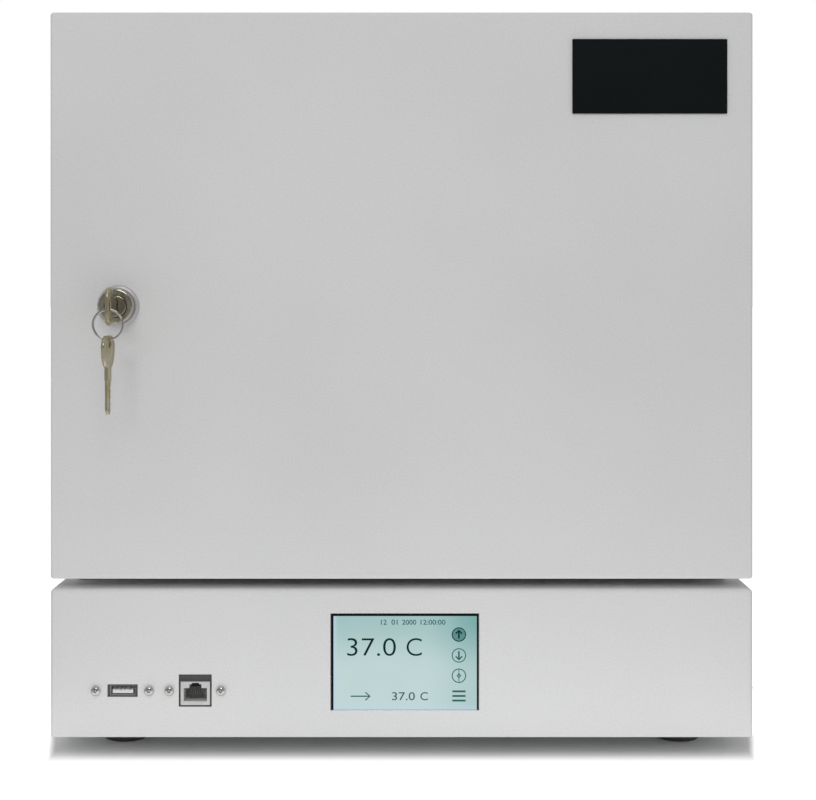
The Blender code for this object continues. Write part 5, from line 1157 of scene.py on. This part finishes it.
def fan_rotor(name, tip, front, back, shaft_to):
    """Hub, blades and shaft, on the bench with the hub's middle at 0."""
    half = (back - front) / 2
    dish = [(0, half - 0.7), (12.5, half - 0.7), (13.1, half - 0.1), (15.4, half),
            (16.4, half - 0.3), (17.0, half - 1.1), (17.0, 1.2 - half), (16.2, -half),
            (14.6, -half), (14.4, 2 - half), (0, 2 - half)]
    spindle = [(0, 0), (1.45, 0), (1.45, -abs(shaft_to)), (0, -abs(shaft_to))]
    shells = [turned(dish, 64)]
    shells += [fan_blade(TAU * k / 7, 16.2, tip, half - 2.2) for k in range(7)]
    way = FRONT if shaft_to > 0 else BACK
    at = (0, (front + back) / 2, FAN_Z)
    shells = [put(s, at, FRONT) for s in shells] + [put(turned(spindle, 24), at, way)]
    piece(name + "_moulded", shells, name, "black_plastic", [name])


fan_rotor("inner_fan_rotor", 36.8, 64.2, 84.6, 14.0)
fan_rotor("rear_fan_rotor", 42.8, 195.3, 215.7, -14.0)

# %% [markdown]
# A finger guard is spot-welded from wire: four rings on four bars, with an eye at each corner for
# a screw. Each wire is a circle swept along its path.

# %% Finger guards
def guard(name, corner, at_y, way):
    """Rings, bars, and eyes with their screws, on the side the fan is seen from."""
    facing_up = (0, 0, 1)
    flat = ((0, 0), (0, 1))
    shells = [swept(np.pad(circle(10 + 9.5 * k, 72), flat), circle(0.97, 12), facing_up, True)
              for k in range(4)]
    heads = []
    out = corner * math.sqrt(2)
    reach = np.array([5.0, 10, 20, 30, out - 3.2])[:, None]
    for k in range(4):
        a = TAU * (k + 0.5) / 4
        x, z = out * math.cos(a), out * math.sin(a)
        bar = np.column_stack([reach * (math.cos(a), math.sin(a)), 0 * reach])
        shells.append(swept(bar, circle(0.88, 10), facing_up))
        eye = np.pad(circle(3.1, 28), flat) + (x, z, 0)
        shells.append(swept(eye, circle(0.88, 10), facing_up, True))
        head = pan_head(3.6, 1.3, 2.0, 0.5 + k, 12, 48)
        heads.append(put(head, (x, at_y + (-0.1 if way is FRONT else 0.1), FAN_Z + z), way))
    shells = [put(s, (0, at_y, FAN_Z), FRONT) for s in shells]
    piece(name + "_wire", shells, "cabinet", "stainless", [name])
    piece(name + "_screws", heads, "cabinet", "nickel")


guard("inner_fan_guard", 35.7, 60.6, FRONT)
guard("rear_fan_guard", 41.7, 219.3, BACK)

# %% [markdown]
# A shelf is a thick wire frame with thin wires welded across it. The frame is a circle swept
# round a rectangle with bent corners.

# %% Wire shelves
def shelf(name):
    """Frame and cross wires, from the solid's own box."""
    low, high = ends(name)
    cx, cy, _ = (low + high) / 2
    w, d, _ = high - low
    loop = level(round_outline(w - 4, d - 4, 6, 8), low[2] + 2)
    shells = [put(swept(loop, circle(2, 16), (0, 0, 1), True), (cx, cy, 0))]
    for k in range(12):
        x = (2 * (k + 1) / 13 - 1) * w / 2
        line = [(x, -d / 2 + 1, low[2] + 4), (x, 0, low[2] + 4), (x, d / 2 - 1, low[2] + 4)]
        shells.append(put(swept(line, circle(1.2, 12), (0, 0, 1)), (cx, cy, 0)))
    piece(name + "_wire", shells, "cabinet", "stainless", [name])


shelf("shelf_lower")
shelf("shelf_upper")

# %% [markdown]
# The door's seal is an extruded vinyl strip with two folds, so that it springs when the magnet in
# its nose pulls it shut. Its section is carried round a rectangle with small corners.

# %% Door seal
SEAL = [(-4, 0.7), (-3.4, 0), (3.4, 0), (4, 0.7), (4, 2.3), (3.1, 2.9), (3.9, 3.5), (3.1, 4.1),
        (3.9, 4.7), (3.9, 6.4), (-3.9, 6.4), (-3.9, 4.7), (-3.1, 4.1), (-3.9, 3.5), (-3.1, 2.9),
        (-4, 2.3)]
low, high = ends("door_gasket")
loop = level(round_outline(high[0] - low[0] - 8, high[2] - low[2] - 8, 5, 8), 0)
seal = put(swept(loop, SEAL, (0, 0, 1), True), (0, high[1], (low[2] + high[2]) / 2), FRONT)
piece("door_gasket_folded", [seal], "door", "gasket_vinyl", ["door_gasket"])

# %% [markdown]
# Flat screws hold both leaves of the hinge, and four pan heads hold the back panel.

# %% Screws of the hinge and the back
HINGE_LOW, HINGE_LENGTH = 98.2, 272
for name, body, at, way, first in (
        ("hinge_screws_door", "door", (162.65, -160.85), BACK, 0.3),
        ("hinge_screws_cabinet", "cabinet", (174.1, -146.35), RIGHT, 0.9)):
    heads = [put(pan_head(2.9, 0.8, 1.7, first + k, 10, 40),
                 (*at, HINGE_LOW + (k + 0.5) * HINGE_LENGTH / 6), way) for k in range(6)]
    piece(name, heads, body, "stainless")
low, high = ends("rear_panel")
heads = [put(pan_head(3.4, 1.7, 1.9, 0.4 + x + k, 12, 48), (x * (high[0] - 9), high[1] - 0.05, z),
             BACK) for x in (-1, 1) for k, z in enumerate((low[2] + 9, high[2] - 9))]
piece("rear_panel_screws", heads, "cabinet", "nickel")

# %% [markdown]
# The floor is white and glows like a light table, most of all close round the object, which
# brightens the base downwards. The camera sees a stronger glow than the object does, so the floor
# stays white in the picture without lighting everything from below. The glow stops under the
# base. There the camera sees a painted shadow: a dark patch cut into the floor's glow, whose edge
# is softer in front than at the sides and which beside the base grows up to eight millimetres
# wider towards the back.

# %% Floor
FLOOR_HALF = 30.0
GLOW_NEAR, GLOW_FAR, GLOW_SEEN = 0.6, 0.015, 0.88
# Half widths: where the lamp glow stops beside the base, and where the painted shadow's edge lies.
LIT_ASIDE, PAINTED_SHADOW_ASIDE = 0.1735, 0.179
MIDDLE_Y, HALF_DEPTH, FRONT_Y = 0.01, 0.19, -0.186
WIDEN_WITHIN, WIDEN_BY = 0.04, 0.2
LIT_FADE, PAINTED_SHADOW_FADE = 3.0, 6.0
floor_mesh = bpy.data.meshes.new("floor")
floor_mesh.from_pydata(
    [(-FLOOR_HALF, -FLOOR_HALF, 0), (FLOOR_HALF, -FLOOR_HALF, 0),
     (FLOOR_HALF, FLOOR_HALF, 0), (-FLOOR_HALF, FLOOR_HALF, 0)], [], [(0, 1, 2, 3)])
floor = bpy.data.objects.new("floor", floor_mesh)
scene.collection.objects.link(floor)
net = Finish("white_floor")
across, away, _ = net.along(net.object_place())
faint = net.noise(3)
white = net.blend(faint, (0.9, 0.9, 0.9), (0.92, 0.92, 0.92))
before = abs(away - MIDDLE_Y) - HALF_DEPTH
beside = (abs(across) - LIT_ASIDE) * LIT_FADE
outside = net.math("MAXIMUM", beside, before)
near = net.blend(outside.step(-0.002, 0.026), (0.03, 0.03, 0.03), (GLOW_NEAR,) * 3)
table = net.blend(outside.step(0.06, 0.2), near, (GLOW_FAR,) * 3)
# The glow that the camera sees is cut to a painted shadow under the base, widening towards the
# back.
behind_front = net.math("MAXIMUM", away - FRONT_Y, 0.0)
painted_shadow_widening = net.math("MINIMUM", behind_front, WIDEN_WITHIN) * WIDEN_BY
painted_shadow_rim = net.math("MAXIMUM", (abs(across) - PAINTED_SHADOW_ASIDE - painted_shadow_widening) * PAINTED_SHADOW_FADE, before)
seen_glow_painted_shadow = net.blend(painted_shadow_rim.step(-0.01, 0.028), (0.02, 0.02, 0.02), (GLOW_SEEN,) * 3)
to_camera = net.node("ShaderNodeLightPath", out="Is Camera Ray")
table = net.blend(to_camera, table, seen_glow_painted_shadow)
net.done(white, 0.9, dents=faint, depth=0.0001, strength=0.05, Specular_IOR_Level=0.0,
         Emission_Color=table, Emission_Strength=1.0)
floor_mesh.materials.append(finishes["white_floor"])
